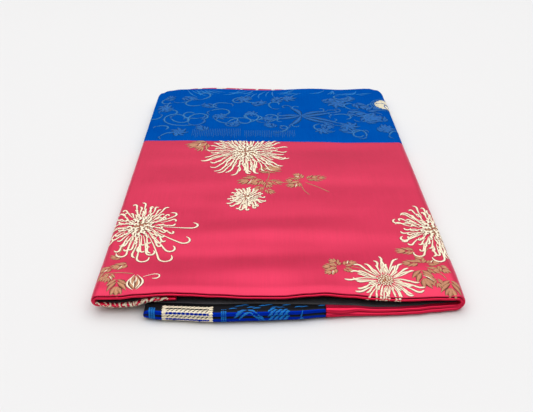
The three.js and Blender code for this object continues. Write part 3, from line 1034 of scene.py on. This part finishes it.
def hem_shade_bands(tree, cloth_uv, ground):
    """The hem of the blue side strip: charcoal painted shade and dark reflection round the front edge, but
    for two bands of blue.
    """
    place = tree.value("edge")
    # Half the lining's charcoal, painted as shade and dark reflection on the hem
    charcoal = opaque([0.5 * c for c in look().charcoal])
    shown = tree.colour_mix(tree.passage(place, 0.10, 0.20), ground, opaque(look().hem_blue))
    for low, high in HEM_SHADE_BANDS:
        above = tree.passage(place, low - HEM_BLUR, low + HEM_BLUR)
        band = above * tree.passage(place, high + HEM_BLUR, high - HEM_BLUR)
        shown = tree.colour_mix(band, shown, charcoal)
    return shown


def thread_silk(name, gloss, light, dark, outline=None):
    """Floats of coloured thread that lie across the cloth, each stroke in its own tone."""
    material = bpy.data.materials.new(name)
    tree = NodeTree(material)
    cloth_uv = tree.cloth_uv()
    along = tree.part(cloth_uv, 1)
    tone = tree.value("tone")
    across = tree.value("across")
    fleck = tree.noise(cloth_uv, 900.0, 1.0)
    floats = along.wave(look().thread_pitch)
    shade = tone * 0.35 + fleck * 0.5 + (1 - across) * 0.12 - 0.12
    colours = tree.colour_mix(shade, opaque(light), opaque(dark))
    if outline:
        colours = tree.colour_mix(tree.passage(across, 0.66, 0.84), colours, opaque(outline))
    tree.surface({
        "Base Color": colours, "Roughness": fleck * 0.2 + 0.4, "Specular IOR Level": gloss,
        "Normal": tree.bump(floats + fleck, 0.5, 0.0001),
    })
    return material


def plain_weave(name, colour, light_colour):
    """Matt lining cloth: a fine plain weave."""
    material = bpy.data.materials.new(name)
    tree = NodeTree(material)
    cloth_uv = tree.cloth_uv()
    cloud = tree.noise(cloth_uv, 90.0, 3.0)
    weave = tree.part(cloth_uv, 0).wave(LINING_PITCH) * tree.part(cloth_uv, 1).wave(LINING_PITCH)
    colours = tree.colour_mix(cloud + weave * 0.2, opaque(colour), opaque(light_colour))
    bumped = tree.bump(weave + cloud, 0.5, 0.00012)
    tree.surface({"Base Color": colours, "Roughness": cloud * 0.2 + 0.7, "Normal": bumped})
    return material


# What a user can change


def colour_choice(name, description, default):
    return FloatVectorProperty(
        name=name, description=description, subtype="COLOR", default=default, min=0, max=1
    )


def share_choice(name, description, default, lowest=0.0):
    return FloatProperty(
        name=name, description=description, subtype="FACTOR", default=default, min=lowest, max=1
    )


def light_choice(name, description, default):
    return FloatProperty(name=name, description=description, default=default, min=0, max=5)


class ClothLook(bpy.types.PropertyGroup):
    """Colours of the satin, the lining and the threads, and how fine they are"""

    red: colour_choice("Red", "Colour of the red satin", (0.58, 0.008, 0.050))
    red_sheen: colour_choice("Red sheen", "Lighter tone of the red satin", (0.72, 0.016, 0.080))
    # Painted light and shade: the lit look of the rolled front edge, and darkened for the shade in its crease
    red_rim_light_and_shade: colour_choice("Red edge", "Red satin round the front edge", (0.66, 0.012, 0.055))
    blue: colour_choice("Blue", "Colour of the blue satin", (0.0, 0.056, 0.325))
    blue_sheen: colour_choice("Blue sheen", "Lighter tone of the blue satin", (0.0, 0.094, 0.425))
    hem_blue: colour_choice("Hem blue", "Deeper blue of the hem's bands", (0.0, 0.020, 0.36))
    # The charcoal, halved, also paints the shade and dark reflection bands of the blue hem
    charcoal: colour_choice("Charcoal", "Colour of the lining", (0.026, 0.026, 0.029))
    cream: colour_choice("Cream", "Colour of the flowers' thread", (1.0, 0.95, 0.74))
    cream_shade: colour_choice("Cream shade", "Darker tone of the flowers' thread", (0.95, 0.72, 0.48))
    petal_line: colour_choice("Petal line", "Thin line round each petal", (0.40, 0.020, 0.035))
    brown: colour_choice("Brown", "Colour of the leaves' thread", (0.62, 0.29, 0.14))
    brown_shade: colour_choice("Brown shade", "Darker tone of the leaves' thread", (0.42, 0.15, 0.08))
    leaf_line: colour_choice("Leaf line", "Thin line round each lobe of a leaf", (0.30, 0.060, 0.040))
    pale_blue: colour_choice("Pale blue", "Colour of the scrolls' lines", (0.035, 0.20, 0.49))
    grey_blue: colour_choice("Grey blue", "Darker tone of the scrolls' lines", (0.02, 0.14, 0.42))
    mid_blue: colour_choice("Mid blue", "Colour of the broad arms and leaves", (0.010, 0.118, 0.41))
    # Light blue also paints the highlights near the blue strip's back edge
    light_blue: colour_choice("Light blue", "Colour of the hem's bars and leaves", (0.004, 0.20, 0.62))
    satin_metallic: share_choice("Satin sheen", "How far the satin reflects as metal does", 0.40)
    satin_roughness: share_choice("Satin roughness", "Roughness of the satin's floats", 0.27, 0.05)
    thread_pitch: FloatProperty(
        name="Thread pitch", description="Distance between the ribs of the satin", default=0.0006,
        min=0.0002, max=0.004, unit="LENGTH", precision=4,
    )
    sheet_step: FloatProperty(
        name="Sheet step", description="Width of the steps across the sheets, in millimetres", default=3.4,
        min=1, max=12,
    )


class StageLook(bpy.types.PropertyGroup):
    """Floor, lights and lens of the stage"""

    floor_colour: colour_choice("Floor", "Colour of the floor", (0.72, 0.715, 0.715))
    back_sky: light_choice("Back light", "Strength of the light from behind the cloth", 0.30)
    top_sky: light_choice("Top light", "Strength of the light from above", 1.35)
    front_sky: light_choice("Front light", "Strength of the light from the camera's side", 0.11)
    lamp_power: FloatProperty(
        name="Lamp", description="Power of the soft light overhead", default=10.0, min=0, max=1000,
        unit="POWER",
    )
    lens: FloatProperty(
        name="Lens", description="Focal length of the camera", default=46.52, min=10, max=200,
        unit="CAMERA",
    )


def look():
    return bpy.context.scene.cloth_look


def seam_dips(s, v):
    """How far the satin dips along the end seam."""
    return SEAM_DIP * bump(v, end_seam(s), SEAM_REACH)


def rows_between(places, start, end, runs):
    return [outer_row(places, mix(start, end, share)) for share in runs]


class CLOTH_OT_face(bpy.types.Operator):
    """Makes the red panel and the two blue strips of the face"""

    bl_idname = "cloth.face"
    bl_label = "Face"

    def execute(self, context):
        values = look()
        sheen = values.satin_metallic
        # The red satin's rim colour paints the lit look of the rolled front edge and shade in its crease
        red = satin(
            "red_satin_cloth", values.red, values.red_sheen, (1.0, 0.50, 0.70), 0.9, sheen,
            rim=values.red_rim_light_and_shade,
        )
        blue = satin("blue_satin_cloth", values.blue, values.blue_sheen, (0.0, 0.45, 1.0), 0.0, 0.2)
        # The blue side strip's hem carries charcoal bands of painted shade and dark reflection
        side_blue = satin(
            "blue_side_cloth", values.blue, values.blue_sheen, (0.0, 0.3, 1.0), 0.08, 0.4, hem_shade_bands
        )
        side_seam = bottom_place(SIDE_SEAM)
        half_gap = SEAM_GAP / 2 / (float(Fold(np.array(0.0)).right_x) - BOTTOM_END)

        places = places_between(0, side_seam - half_gap, values.sheet_step)
        front = edge_centre(length_at(places, 0.0))
        seam = end_seam(length_at(places, DEPTH - END_STRIP)) - SEAM_GAP / 2
        back = back_line(length_at(places, DEPTH))
        panel = rows_between(places, front, seam, shares((28, 1.7), (60, 4.0), (3, 1.6), (4, 0.5))[1:])
        closed_sheet("red_panel_sheet", turned_rows(places) + panel, red, "red_panel", seam_dips)
        strip = rows_between(places, seam + SEAM_GAP, back, shares((4, 0.5), (3, 1.6), (36, 4.0), (10, 1.6)))
        closed_sheet("blue_end_sheet", strip, blue, "blue_end_strip", seam_dips)

        places = places_between(side_seam + half_gap, 5, values.sheet_step)
        front = edge_centre(length_at(places, 0.0))
        back = back_line(length_at(places, DEPTH))
        side = rows_between(places, front, back, shares((24, 2.0), (90, 4.5), (10, 1.6))[1:])
        rows = turned_rows(places) + side
        closed_sheet("blue_side_sheet", rows, side_blue, "blue_side_strip")
        return {"FINISHED"}


class CLOTH_OT_inside(bpy.types.Operator):
    """Makes the charcoal lining and the red facing at the back of the inside"""

    bl_idname = "cloth.inside"
    bl_label = "Inside"

    def execute(self, context):
        values = look()
        charcoal = plain_weave("charcoal_lining_cloth", values.charcoal, [2.2 * c for c in values.charcoal])
        red = satin(
            "red_facing_cloth", values.red, values.red_sheen, (1.0, 0.55, 0.75), 0.9, values.satin_metallic,
            cream_flecks,
        )
        places = places_between(0, 5, values.sheet_step)
        start = lining_start(length_at(places, 0.0)) + SEAM_GAP
        end = DEPTH - FACING_DEPTH
        lining = [inner_row(places, mix(start, end, share)) for share in shares((20, 2.0), (70, 5.6))]
        closed_sheet("charcoal_lining_sheet", lining, charcoal, "charcoal_lining")

        s_back = length_at(places, DEPTH)
        stands_out = BACK_EDGE.at(skin(s_back, DEPTH + 0.0 * s_back)[0], "facing")
        start = end + SEAM_GAP
        end = back_line(s_back) + stands_out
        facing = [inner_row(places, mix(start, end, share)) for share in shares((8, 4.0), (12, 1.4))]
        closed_sheet("red_facing_sheet", facing, red, "red_back_facing")
        return {"FINISHED"}


def weave(rows, slot, gloss):
    """Makes a piece from each row of threads, its name, and its light, dark and outline colours."""
    for threads, name, *colours in rows:
        threads.make(name, thread_silk(name + "_thread", gloss, *colours), slot)


class CLOTH_OT_red_flowers(bpy.types.Operator):
    """Weaves the cream flowers and the brown leaves of the red panel"""

    bl_idname = "cloth.red_flowers"
    bl_label = "Red flowers"

    def execute(self, context):
        values = look()
        cream, brown = (Threads(seed, red_region()) for seed in (11, 12))
        shown_flowers(cream, brown)
        hidden_flowers(cream, brown)
        rows = (
            (cream, "cream_flowers", values.cream, values.cream_shade, values.petal_line),
            (brown, "brown_leaves", values.brown, values.brown_shade, values.leaf_line),
        )
        weave(rows, "red_satin", 0.5)
        return {"FINISHED"}


# Scrolls of the blue strip: length along the cloth, depth, heading in degrees, length, turn in radians
SCROLLS = (
    (-103, 364, 190, 92, -5.6), (-99, 386, 185, 44, -4.6), (-78, 385, 300, 58, 5.2),
    (-36, 397, 280, 46, 5.4),
    (-9, 372, 20, 46, 4.4), (-152, 452, 240, 26, 4.0), (-150, 392, 250, 24, -3.6), (-152, 360, 20, 22, -3.2),
    (-144, 330, 60, 30, -3.4), (-145, 434, 250, 20, 2.6), (93, 444, 350, 34, 3.2), (84, 396, 20, 36, -3.6),
    (120, 326, 80, 36, 4.2), (150, 330, 70, 34, -3.8), (-128, 440, 20, 34, 3.4), (-100, 430, 200, 30, -3.0),
    (-60, 436, 160, 36, 3.8), (-20, 440, 190, 34, -4.2), (120, 372, 10, 40, 4.4), (140, 400, 200, 38, 4.0),
    (110, 414, 140, 30, -3.4), (70, 340, 160, 34, -3.0), (10, 340, 30, 28, 3.4),
    (-112, 372, 100, 60, -5.0), (-60, 372, 60, 60, -5.6), (-30, 372, 40, 54, 5.2), (-84, 412, 30, 44, -4.6),
    (-150, 412, 20, 34, -4.2), (-136, 384, 300, 40, 4.4), (-100, 452, 30, 40, 4.6), (-40, 462, 200, 40, 4.2),
    (0, 420, 120, 34, -4.4), (116, 344, 200, 34, 4.6), (146, 412, 60, 34, 4.2), (110, 452, 200, 34, -4.2),
)
# Arms of the eight-armed leafy flower: heading in degrees, length, bend in radians
ARMS = (
    (90, 34, 1.2), (40, 46, -0.9), (2, 52, 0.5), (340, 66, -0.4), (310, 58, 0.7), (262, 46, -0.8),
    (212, 42, -0.7), (168, 34, 0.6),
)
ARMS_CENTRE = (39, 394)
# Leaves among the scrolls: length along the cloth, depth, heading in degrees, length, width
FOLIAGE = (
    (96, 446, 10, 26, 16), (116, 438, 300, 30, 18), (100, 404, 340, 30, 18), (128, 408, 20, 28, 16),
    (122, 368, 30, 30, 18), (150, 368, 100, 26, 16), (140, 336, 60, 28, 16), (108, 336, 140, 24, 14),
    (-150, 446, 60, 22, 12), (-130, 462, 330, 26, 14), (-150, 404, 70, 20, 12), (-86, 344, 120, 22, 14),
    (-54, 356, 60, 22, 14), (4, 352, 120, 22, 14), (66, 368, 300, 22, 14), (-30, 430, 20, 26, 16),
    (4, 436, 70, 26, 16), (70, 440, 20, 24, 14), (-74, 424, 160, 24, 14),
)
# Small rosettes: length along the cloth, depth, radius
ROSETTES = (
    (-70, 392, 12), (-28, 402, 10), (-6, 384, 10), (94, 434, 18), (132, 386, 18), (102, 358, 15),
    (150, 348, 13), (-148, 420, 13), (-122, 342, 14), (66, 344, 12), (-40, 452, 14), (24, 454, 14),
)
# Painted highlights near the back edge, drawn as leafy sprays: length along the cloth, depth, heading, length
BACK_HIGHLIGHTS = (
    (-117, 488, 300, 34), (-104, 488, 300, 28), (-92, 486, 310, 22), (-66, 470, 20, 26), (-58, 480, 350, 22),
    (-40, 474, 30, 20), (-20, 478, 230, 24), (-2, 486, 240, 26), (12, 478, 10, 28), (40, 476, 190, 26),
    (60, 474, 10, 20), (86, 470, 60, 20), (98, 474, 340, 20), (112, 468, 30, 20), (126, 474, 330, 18),
)
# Medallion at the right fold: length along the cloth, depth, radius
MEDALLION = (161, 430, 17)
# Its rings as shares of its radius and widths, how far apart its cream rows are, and its fine lines' headings
MEDALLION_RINGS = ((1.35, 1.2), (1.15, 3.0), (1.0, 1.4))
MEDALLION_ROWS = 9
MEDALLION_ROW_STEP = 3.5
MEDALLION_LINES = (0.4, 2.2, 4.0, 5.4)
# Patches of fine upright lines: from, to, lowest and highest depth
HATCHED = ((-104, -40, 322, 352), (-36, 30, 322, 346))
HATCH_STEP = 2.3


def scroll(threads, start, heading, length, turn, width):
    path = curve(start, heading, length, lambda t: turn * t**1.7, 26)
    threads.stroke(path, LINE, width, threads.rng.uniform(0, 1))


def leafy_arm(pale, mid, centre, heading, length, bend):
    """An arm of the leafy flower, with a curl at its tip, a tendril, and a fine line along each side."""
    arm = curve(centre, heading, length, lambda t: bend * (t - 2.2 * ease((t - 0.72) / 0.28)), 16)
    mid.stroke(arm, LENS, 9.0, 0.3)
    scroll(mid, arm[-2], heading + 0.4 * bend, 24, 4.6 * math.copysign(1, bend), 3.2)
    scroll(pale, arm[9], heading + 0.6 * bend, 22, -4.0 * math.copysign(1, bend), 1.8)
    side = np.array([-math.sin(heading), math.cos(heading)])
    for shift in (-1.9, 1.9):
        line = arm + shift * side * np.sin(math.pi * np.linspace(0, 1, 16))[:, None]
        pale.stroke(line, LINE, 1.1, 0.6)


def blue_repeat(pale, mid, highlight_threads):
    """Scrolls, leaves and rosettes of the blue strip, and painted highlights near its back edge drawn as
    leafy sprays.
    """
    for s, v, degrees, length, turn in SCROLLS:
        place, heading = np.array([s, v], float), math.radians(degrees)
        scroll(pale, place, heading, 1.12 * length, turn, 2.9)
        mid.stroke(curve(place, heading + math.pi, 0.4 * length, lambda t: -0.5 * turn * t, 12), LENS, 4.0)
    for s, v, degrees, length, width in FOLIAGE:
        leaf(mid, pale, (s, v), math.radians(degrees), length, width, 0.4)
    for degrees, length, bend in ARMS:
        leafy_arm(pale, mid, np.array(ARMS_CENTRE, float), math.radians(degrees), length, bend)
    for s, v, radius in ROSETTES:
        for k in range(7):
            path = curve((s, v), 0.9 * k + 0.1 * s, radius, lambda t: 1.2 * t, 8)
            mid.stroke(path, LENS, 0.55 * radius, 0.2 + 0.1 * (k % 3))
            pale.stroke(path, LINE, 1.1, 0.6, 0.1)
    # Painted highlights: bright light-blue sprays along the back edge
    for s, v, degrees, length in BACK_HIGHLIGHTS:
        for k in (-1, 0, 1):
            path = curve((s + 5 * k, v), math.radians(degrees + 16 * k), length, lambda t: 0.7 * t, 10)
            highlight_threads.stroke(path, LENS, 3.0, 0.4 + 0.2 * k)


def hatching(mid):
    """Patches of fine upright lines, ragged at their lower ends."""
    for low, high, v_low, v_high in HATCHED:
        for s in np.arange(low, high, HATCH_STEP):
            path = np.array([(s, v) for v in np.linspace(v_low + mid.rng.uniform(0, 8), v_high, 6)])
            mid.stroke(path, LINE, 0.9, mid.rng.uniform(0, 1))


def medallion(pale, mid, cream):
    """A cream disc in rings of blue, with fine lines on it."""
    s, v, radius = MEDALLION
    for (share, width), threads in zip(MEDALLION_RINGS, (pale, mid, pale)):
        ring = curve((s, v - radius * share), 0, 2 * math.pi * radius * share, lambda t: 2 * math.pi * t, 40)
        threads.stroke(ring, BAR, width, 0.4)
    for k in range(MEDALLION_ROWS):
        from_middle = k - MEDALLION_ROWS // 2
        reach = math.sqrt(max(0.0, 1 - (from_middle / 4.6) ** 2)) * radius * 0.92
        row_v = v + from_middle * MEDALLION_ROW_STEP
        path = np.array([(s + x, row_v) for x in np.linspace(-reach, reach, 8)])
        cream.stroke(path, BAR, 3.4, 0.1, 0.2)
    for heading in MEDALLION_LINES:
        mid.stroke(curve((s, v), heading, radius, lambda t: 1.8 * t, 10), LINE, 1.3, 0.5, 0.4)


class CLOTH_OT_blue_scrolls(bpy.types.Operator):
    """Weaves the scrolls, the leafy flower and the medallion of the blue strip along the end"""

    bl_idname = "cloth.blue_scrolls"
    bl_label = "Blue scrolls"

    def execute(self, context):
        values = look()
        region = blue_end_region()
        pale, mid, highlight_threads, cream = (Threads(seed, region) for seed in (21, 22, 23, 24))
        blue_repeat(pale, mid, highlight_threads)
        hatching(mid)
        medallion(pale, mid, cream)
        rows = (
            (pale, "pale_scrolls", values.pale_blue, values.grey_blue),
            (mid, "mid_scrolls", values.mid_blue, values.mid_blue),
            # Painted highlights near the back edge, in light blue thread
            (highlight_threads, "bright_leaves", values.light_blue, values.mid_blue),
            (cream, "cream_medallion", values.cream, values.cream_shade),
        )
        weave(rows, "blue_satin", 0.1)
        return {"FINISHED"}


def on_edge(x, share):
    """A path through places across the bottom layer, at shares round its front edge from 0 underneath to 1
    on top."""
    x, share = np.broadcast_arrays(np.asarray(x, float), np.asarray(share, float))
    s = length_at(bottom_place(x), 0.0)
    return np.stack([s, edge_v(s, share)], axis=-1)


# The hem's bars: left and right side. The rope-twisted fret: left and right side, and where its bands run
# round the edge, from low to high. It stops short of its sides by an inset, and has posts of tiles there.
HEM_BARS = ((-113.5, -107.5), (-50.5, -45.5))
BAR_STROKES = 3
FRET_LEFT = -101.5
FRET_RIGHT = -57.5
FRET_INSET = 1.5
FRET_POST = 3.2
FRET_BANDS = ((0.15, 0.36), (0.47, 0.71), (0.81, 1.03), (1.12, 1.28))
# The lowest band is broken in three: left and right ends
FRET_BREAKS = (
    (FRET_LEFT + FRET_INSET, FRET_LEFT + 9), (FRET_LEFT + 11, FRET_RIGHT - 13),
    (FRET_RIGHT - 11, FRET_RIGHT - FRET_POST),
)
TWIST_PITCH = 3.7
TWIST_SLANT = 4.6
TWIST_WIDTH = 0.42 * TWIST_PITCH
# Strokes of the hem's leafy arch and of the sprig beside it: start and end, each as a place across and a
# share round the edge, how far it bows, and its width
ARCH = (
    (-40, 0.42, -26, 1.02, 0.20, 4.4), (-36, 0.34, -24, 0.84, 0.14, 2.6), (-28, 1.02, -12, 0.30, 0.16, 5.2),
    (-26, 0.86, -15, 0.26, 0.04, 2.6), (-20, 0.52, -11, 0.26, 0.10, 3.0), (-9, 0.90, -3, 1.16, 0.05, 3.4),
)
SPRIG = ((18, 0.26, 20.5, 0.92, 0.02, 1.8), (17, 0.28, 22, 0.30, 0.12, 2.4))


def twisted_band(threads, left, right, low, high):
    """A band of rope: slanted tiles side by side, between two rails."""
    share = np.linspace(0, 1, 5)
    for x in np.arange(left, right - 1.0, TWIST_PITCH):
        tile = on_edge(np.clip(x + TWIST_SLANT * share, left, right), mix(low, high, share))
        threads.stroke(tile, BAR, TWIST_WIDTH, threads.rng.uniform(0, 0.5))
    for height in (low + 0.03, high - 0.03):
        threads.stroke(on_edge(np.linspace(left, right, 24), height), BAR, 0.8, 0.3, 0.05)


def fret(cream):
    """The rope-twisted fret of the hem."""
    for low, high in FRET_BANDS[1:]:
        twisted_band(cream, FRET_LEFT + FRET_INSET, FRET_RIGHT - FRET_POST, low, high)
    for left, right in FRET_BREAKS:
        twisted_band(cream, left, right, *FRET_BANDS[0])
    share = np.linspace(0, 1, 4)
    for x in (FRET_LEFT, FRET_RIGHT - FRET_POST):
        for low in np.arange(0.16, 1.30, 0.15):
            tile = on_edge(x + FRET_POST * share, low + 0.08 * share)
            cream.stroke(tile, BAR, 2.5, cream.rng.uniform(0, 0.5))


def bars(light):
    """The upright bars to either side of the fret."""
    for start, end in HEM_BARS:
        for k in range(BAR_STROKES):
            path = on_edge(mix(start, end, (k + 0.5) / BAR_STROKES), np.linspace(0.12, 1.10, 12))
            light.stroke(path, BAR, (end - start) / BAR_STROKES * 0.9, light.rng.uniform(0, 1))


def hem_stroke(light, x0, share0, x1, share1, bow, width, count=9):
    t = np.linspace(0, 1, count)
    rise = share0 + (share1 - share0) * t + bow * np.sin(math.pi * t)
    light.stroke(on_edge(x0 + (x1 - x0) * t, rise), LENS, width, light.rng.uniform(0, 1))


def leafy_motif(light):
    """An arch of leaves, a cluster of scales and a sprig, with flecks above them."""
    for row in ARCH:
        hem_stroke(light, *row)
    for row in range(5):
        for k in range(4):
            x, share = -10 + 4.4 * k + 1.8 * (row % 2), 0.28 + 0.14 * row
            hem_stroke(light, x, share, x + 4.4, 0.42 + 0.14 * row, 0.06, 3.0, 6)
    for row in SPRIG:
        hem_stroke(light, *row)
    for x in np.arange(-44, 40, 5.2):
        share = 1.26 + 0.14 * math.sin(0.9 * x)
        hem_stroke(light, x, share, x + 7.5, share + 0.04, 0.03, 1.5 + 0.5 * math.sin(x), 6)


class CLOTH_OT_hem(bpy.types.Operator):
    """Weaves the bars, the rope-twisted fret and the leafy motif on the blue hem at the front"""

    bl_idname = "cloth.hem"
    bl_label = "Hem motifs"

    def execute(self, context):
        values = look()
        region = blue_side_region()
        cream, light = (Threads(seed, region) for seed in (31, 32))
        fret(cream)
        bars(light)
        leafy_motif(light)
        rows = (
            (cream, "cream_fret", values.cream, values.cream_shade),
            (light, "hem_leaves", values.light_blue, values.mid_blue),
        )
        weave(rows, "blue_satin", 0.15)
        return {"FINISHED"}


class CLOTH_OT_declare(bpy.types.Operator):
    """Does nothing."""

    bl_idname = "cloth.declare"
    bl_label = "Declare sheets"

    def execute(self, context):
        return {"FINISHED"}


# The stage, in metres
FLOOR_SIZE = 14.0
FLOOR_PLACE = (0, 2.0, -0.0005)
LAMP_PLACE = (0.0, 0.4, 2.2)
LAMP_SIZE = (3.2, 2.4)
# Where the photograph's camera stands, in millimetres in the part's frame, and how far it looks down and to
# the right in degrees
CAMERA_PLACE = (-15.3, -474.5 - ORIGIN_Y, 394.2)
CAMERA_PITCH = 31.0
CAMERA_YAW = 0.52
SENSOR_WIDTH = 36


class CLOTH_OT_stage(bpy.types.Operator):
    """Makes the floor, the lights and the camera"""

    bl_idname = "cloth.stage"
    bl_label = "Stage"

    def execute(self, context):
        values = bpy.context.scene.stage_look
        bpy.ops.object.select_all(action="DESELECT")
        bpy.ops.mesh.primitive_plane_add(size=FLOOR_SIZE, location=FLOOR_PLACE)
        floor = bpy.context.active_object
        floor.name = "floor"
        material = bpy.data.materials.new("floor_paper")
        tree = NodeTree(material)
        place = tree.node("ShaderNodeTexCoord", output=3)
        grain = tree.node("ShaderNodeTexNoise", None, {"Vector": place, "Scale": 3.0, "Detail": 2.0})
        colour = values.floor_colour
        colours = tree.colour_mix(grain, opaque(colour), opaque([0.99 * c for c in colour]))
        tree.surface({"Base Color": colours, "Roughness": 0.7})
        floor.data.materials.append(material)

        bpy.ops.object.light_add(type="AREA", location=LAMP_PLACE)
        lamp = bpy.context.active_object
        lamp.data.shape = "RECTANGLE"
        lamp.data.size, lamp.data.size_y = LAMP_SIZE
        lamp.data.energy = values.lamp_power

        world = bpy.data.worlds.new("studio")
        bpy.context.scene.world = world
        tree = NodeTree(world)
        direction = tree.node("ShaderNodeTexCoord")
        behind = tree.part(direction, 1)
        up = tree.part(direction, 2)
        from_back = tree.passage(behind, -0.35, 0.35) * values.back_sky
        strength = from_back + tree.passage(up, 0.38, 0.80) * values.top_sky + values.front_sky
        sky = tree.node("ShaderNodeBackground", None, {"Color": (1, 1, 1, 1), "Strength": strength})
        tree.node("ShaderNodeOutputWorld", None, {"Surface": sky})

        turned = (math.radians(90 - CAMERA_PITCH), 0, math.radians(-CAMERA_YAW))
        bpy.ops.object.camera_add(location=[c * MM for c in CAMERA_PLACE], rotation=turned)
        camera = bpy.context.active_object
        camera.data.sensor_width = SENSOR_WIDTH
        camera.data.lens = values.lens
        bpy.context.scene.camera = camera
        bpy.context.scene.view_settings.view_transform = "Standard"
        return {"FINISHED"}


class CLOTH_PT_pieces(bpy.types.Panel):
    """Lists the pieces and what can be changed"""
    bl_label = "Folded cloth"
    bl_idname = "CLOTH_PT_pieces"
    bl_space_type = "VIEW_3D"
    bl_region_type = "UI"
    bl_category = "Cloth"

    def draw(self, context):
        column = self.layout.column()
        for operator in OPERATORS:
            column.operator(operator.bl_idname)
        for group in (context.scene.cloth_look, context.scene.stage_look):
            for name in group.__annotations__:
                column.prop(group, name)


GROUPS = (ClothLook, StageLook)
OPERATORS = (
    CLOTH_OT_face, CLOTH_OT_inside, CLOTH_OT_red_flowers, CLOTH_OT_blue_scrolls, CLOTH_OT_hem,
    CLOTH_OT_declare, CLOTH_OT_stage,
)


def register():
    for kind in (*GROUPS, *OPERATORS, CLOTH_PT_pieces):
        bpy.utils.register_class(kind)
    bpy.types.Scene.cloth_look = PointerProperty(type=ClothLook)
    bpy.types.Scene.stage_look = PointerProperty(type=StageLook)


def unregister():
    del bpy.types.Scene.stage_look
    del bpy.types.Scene.cloth_look
    for kind in reversed((*GROUPS, *OPERATORS, CLOTH_PT_pieces)):
        bpy.utils.unregister_class(kind)


def main():
    register()
    bpy.ops.cloth.face()
    bpy.ops.cloth.inside()
    bpy.ops.cloth.red_flowers()
    bpy.ops.cloth.blue_scrolls()
    bpy.ops.cloth.hem()
    bpy.ops.cloth.declare()
    bpy.ops.cloth.stage()


if __name__ == "__main__":
    main()
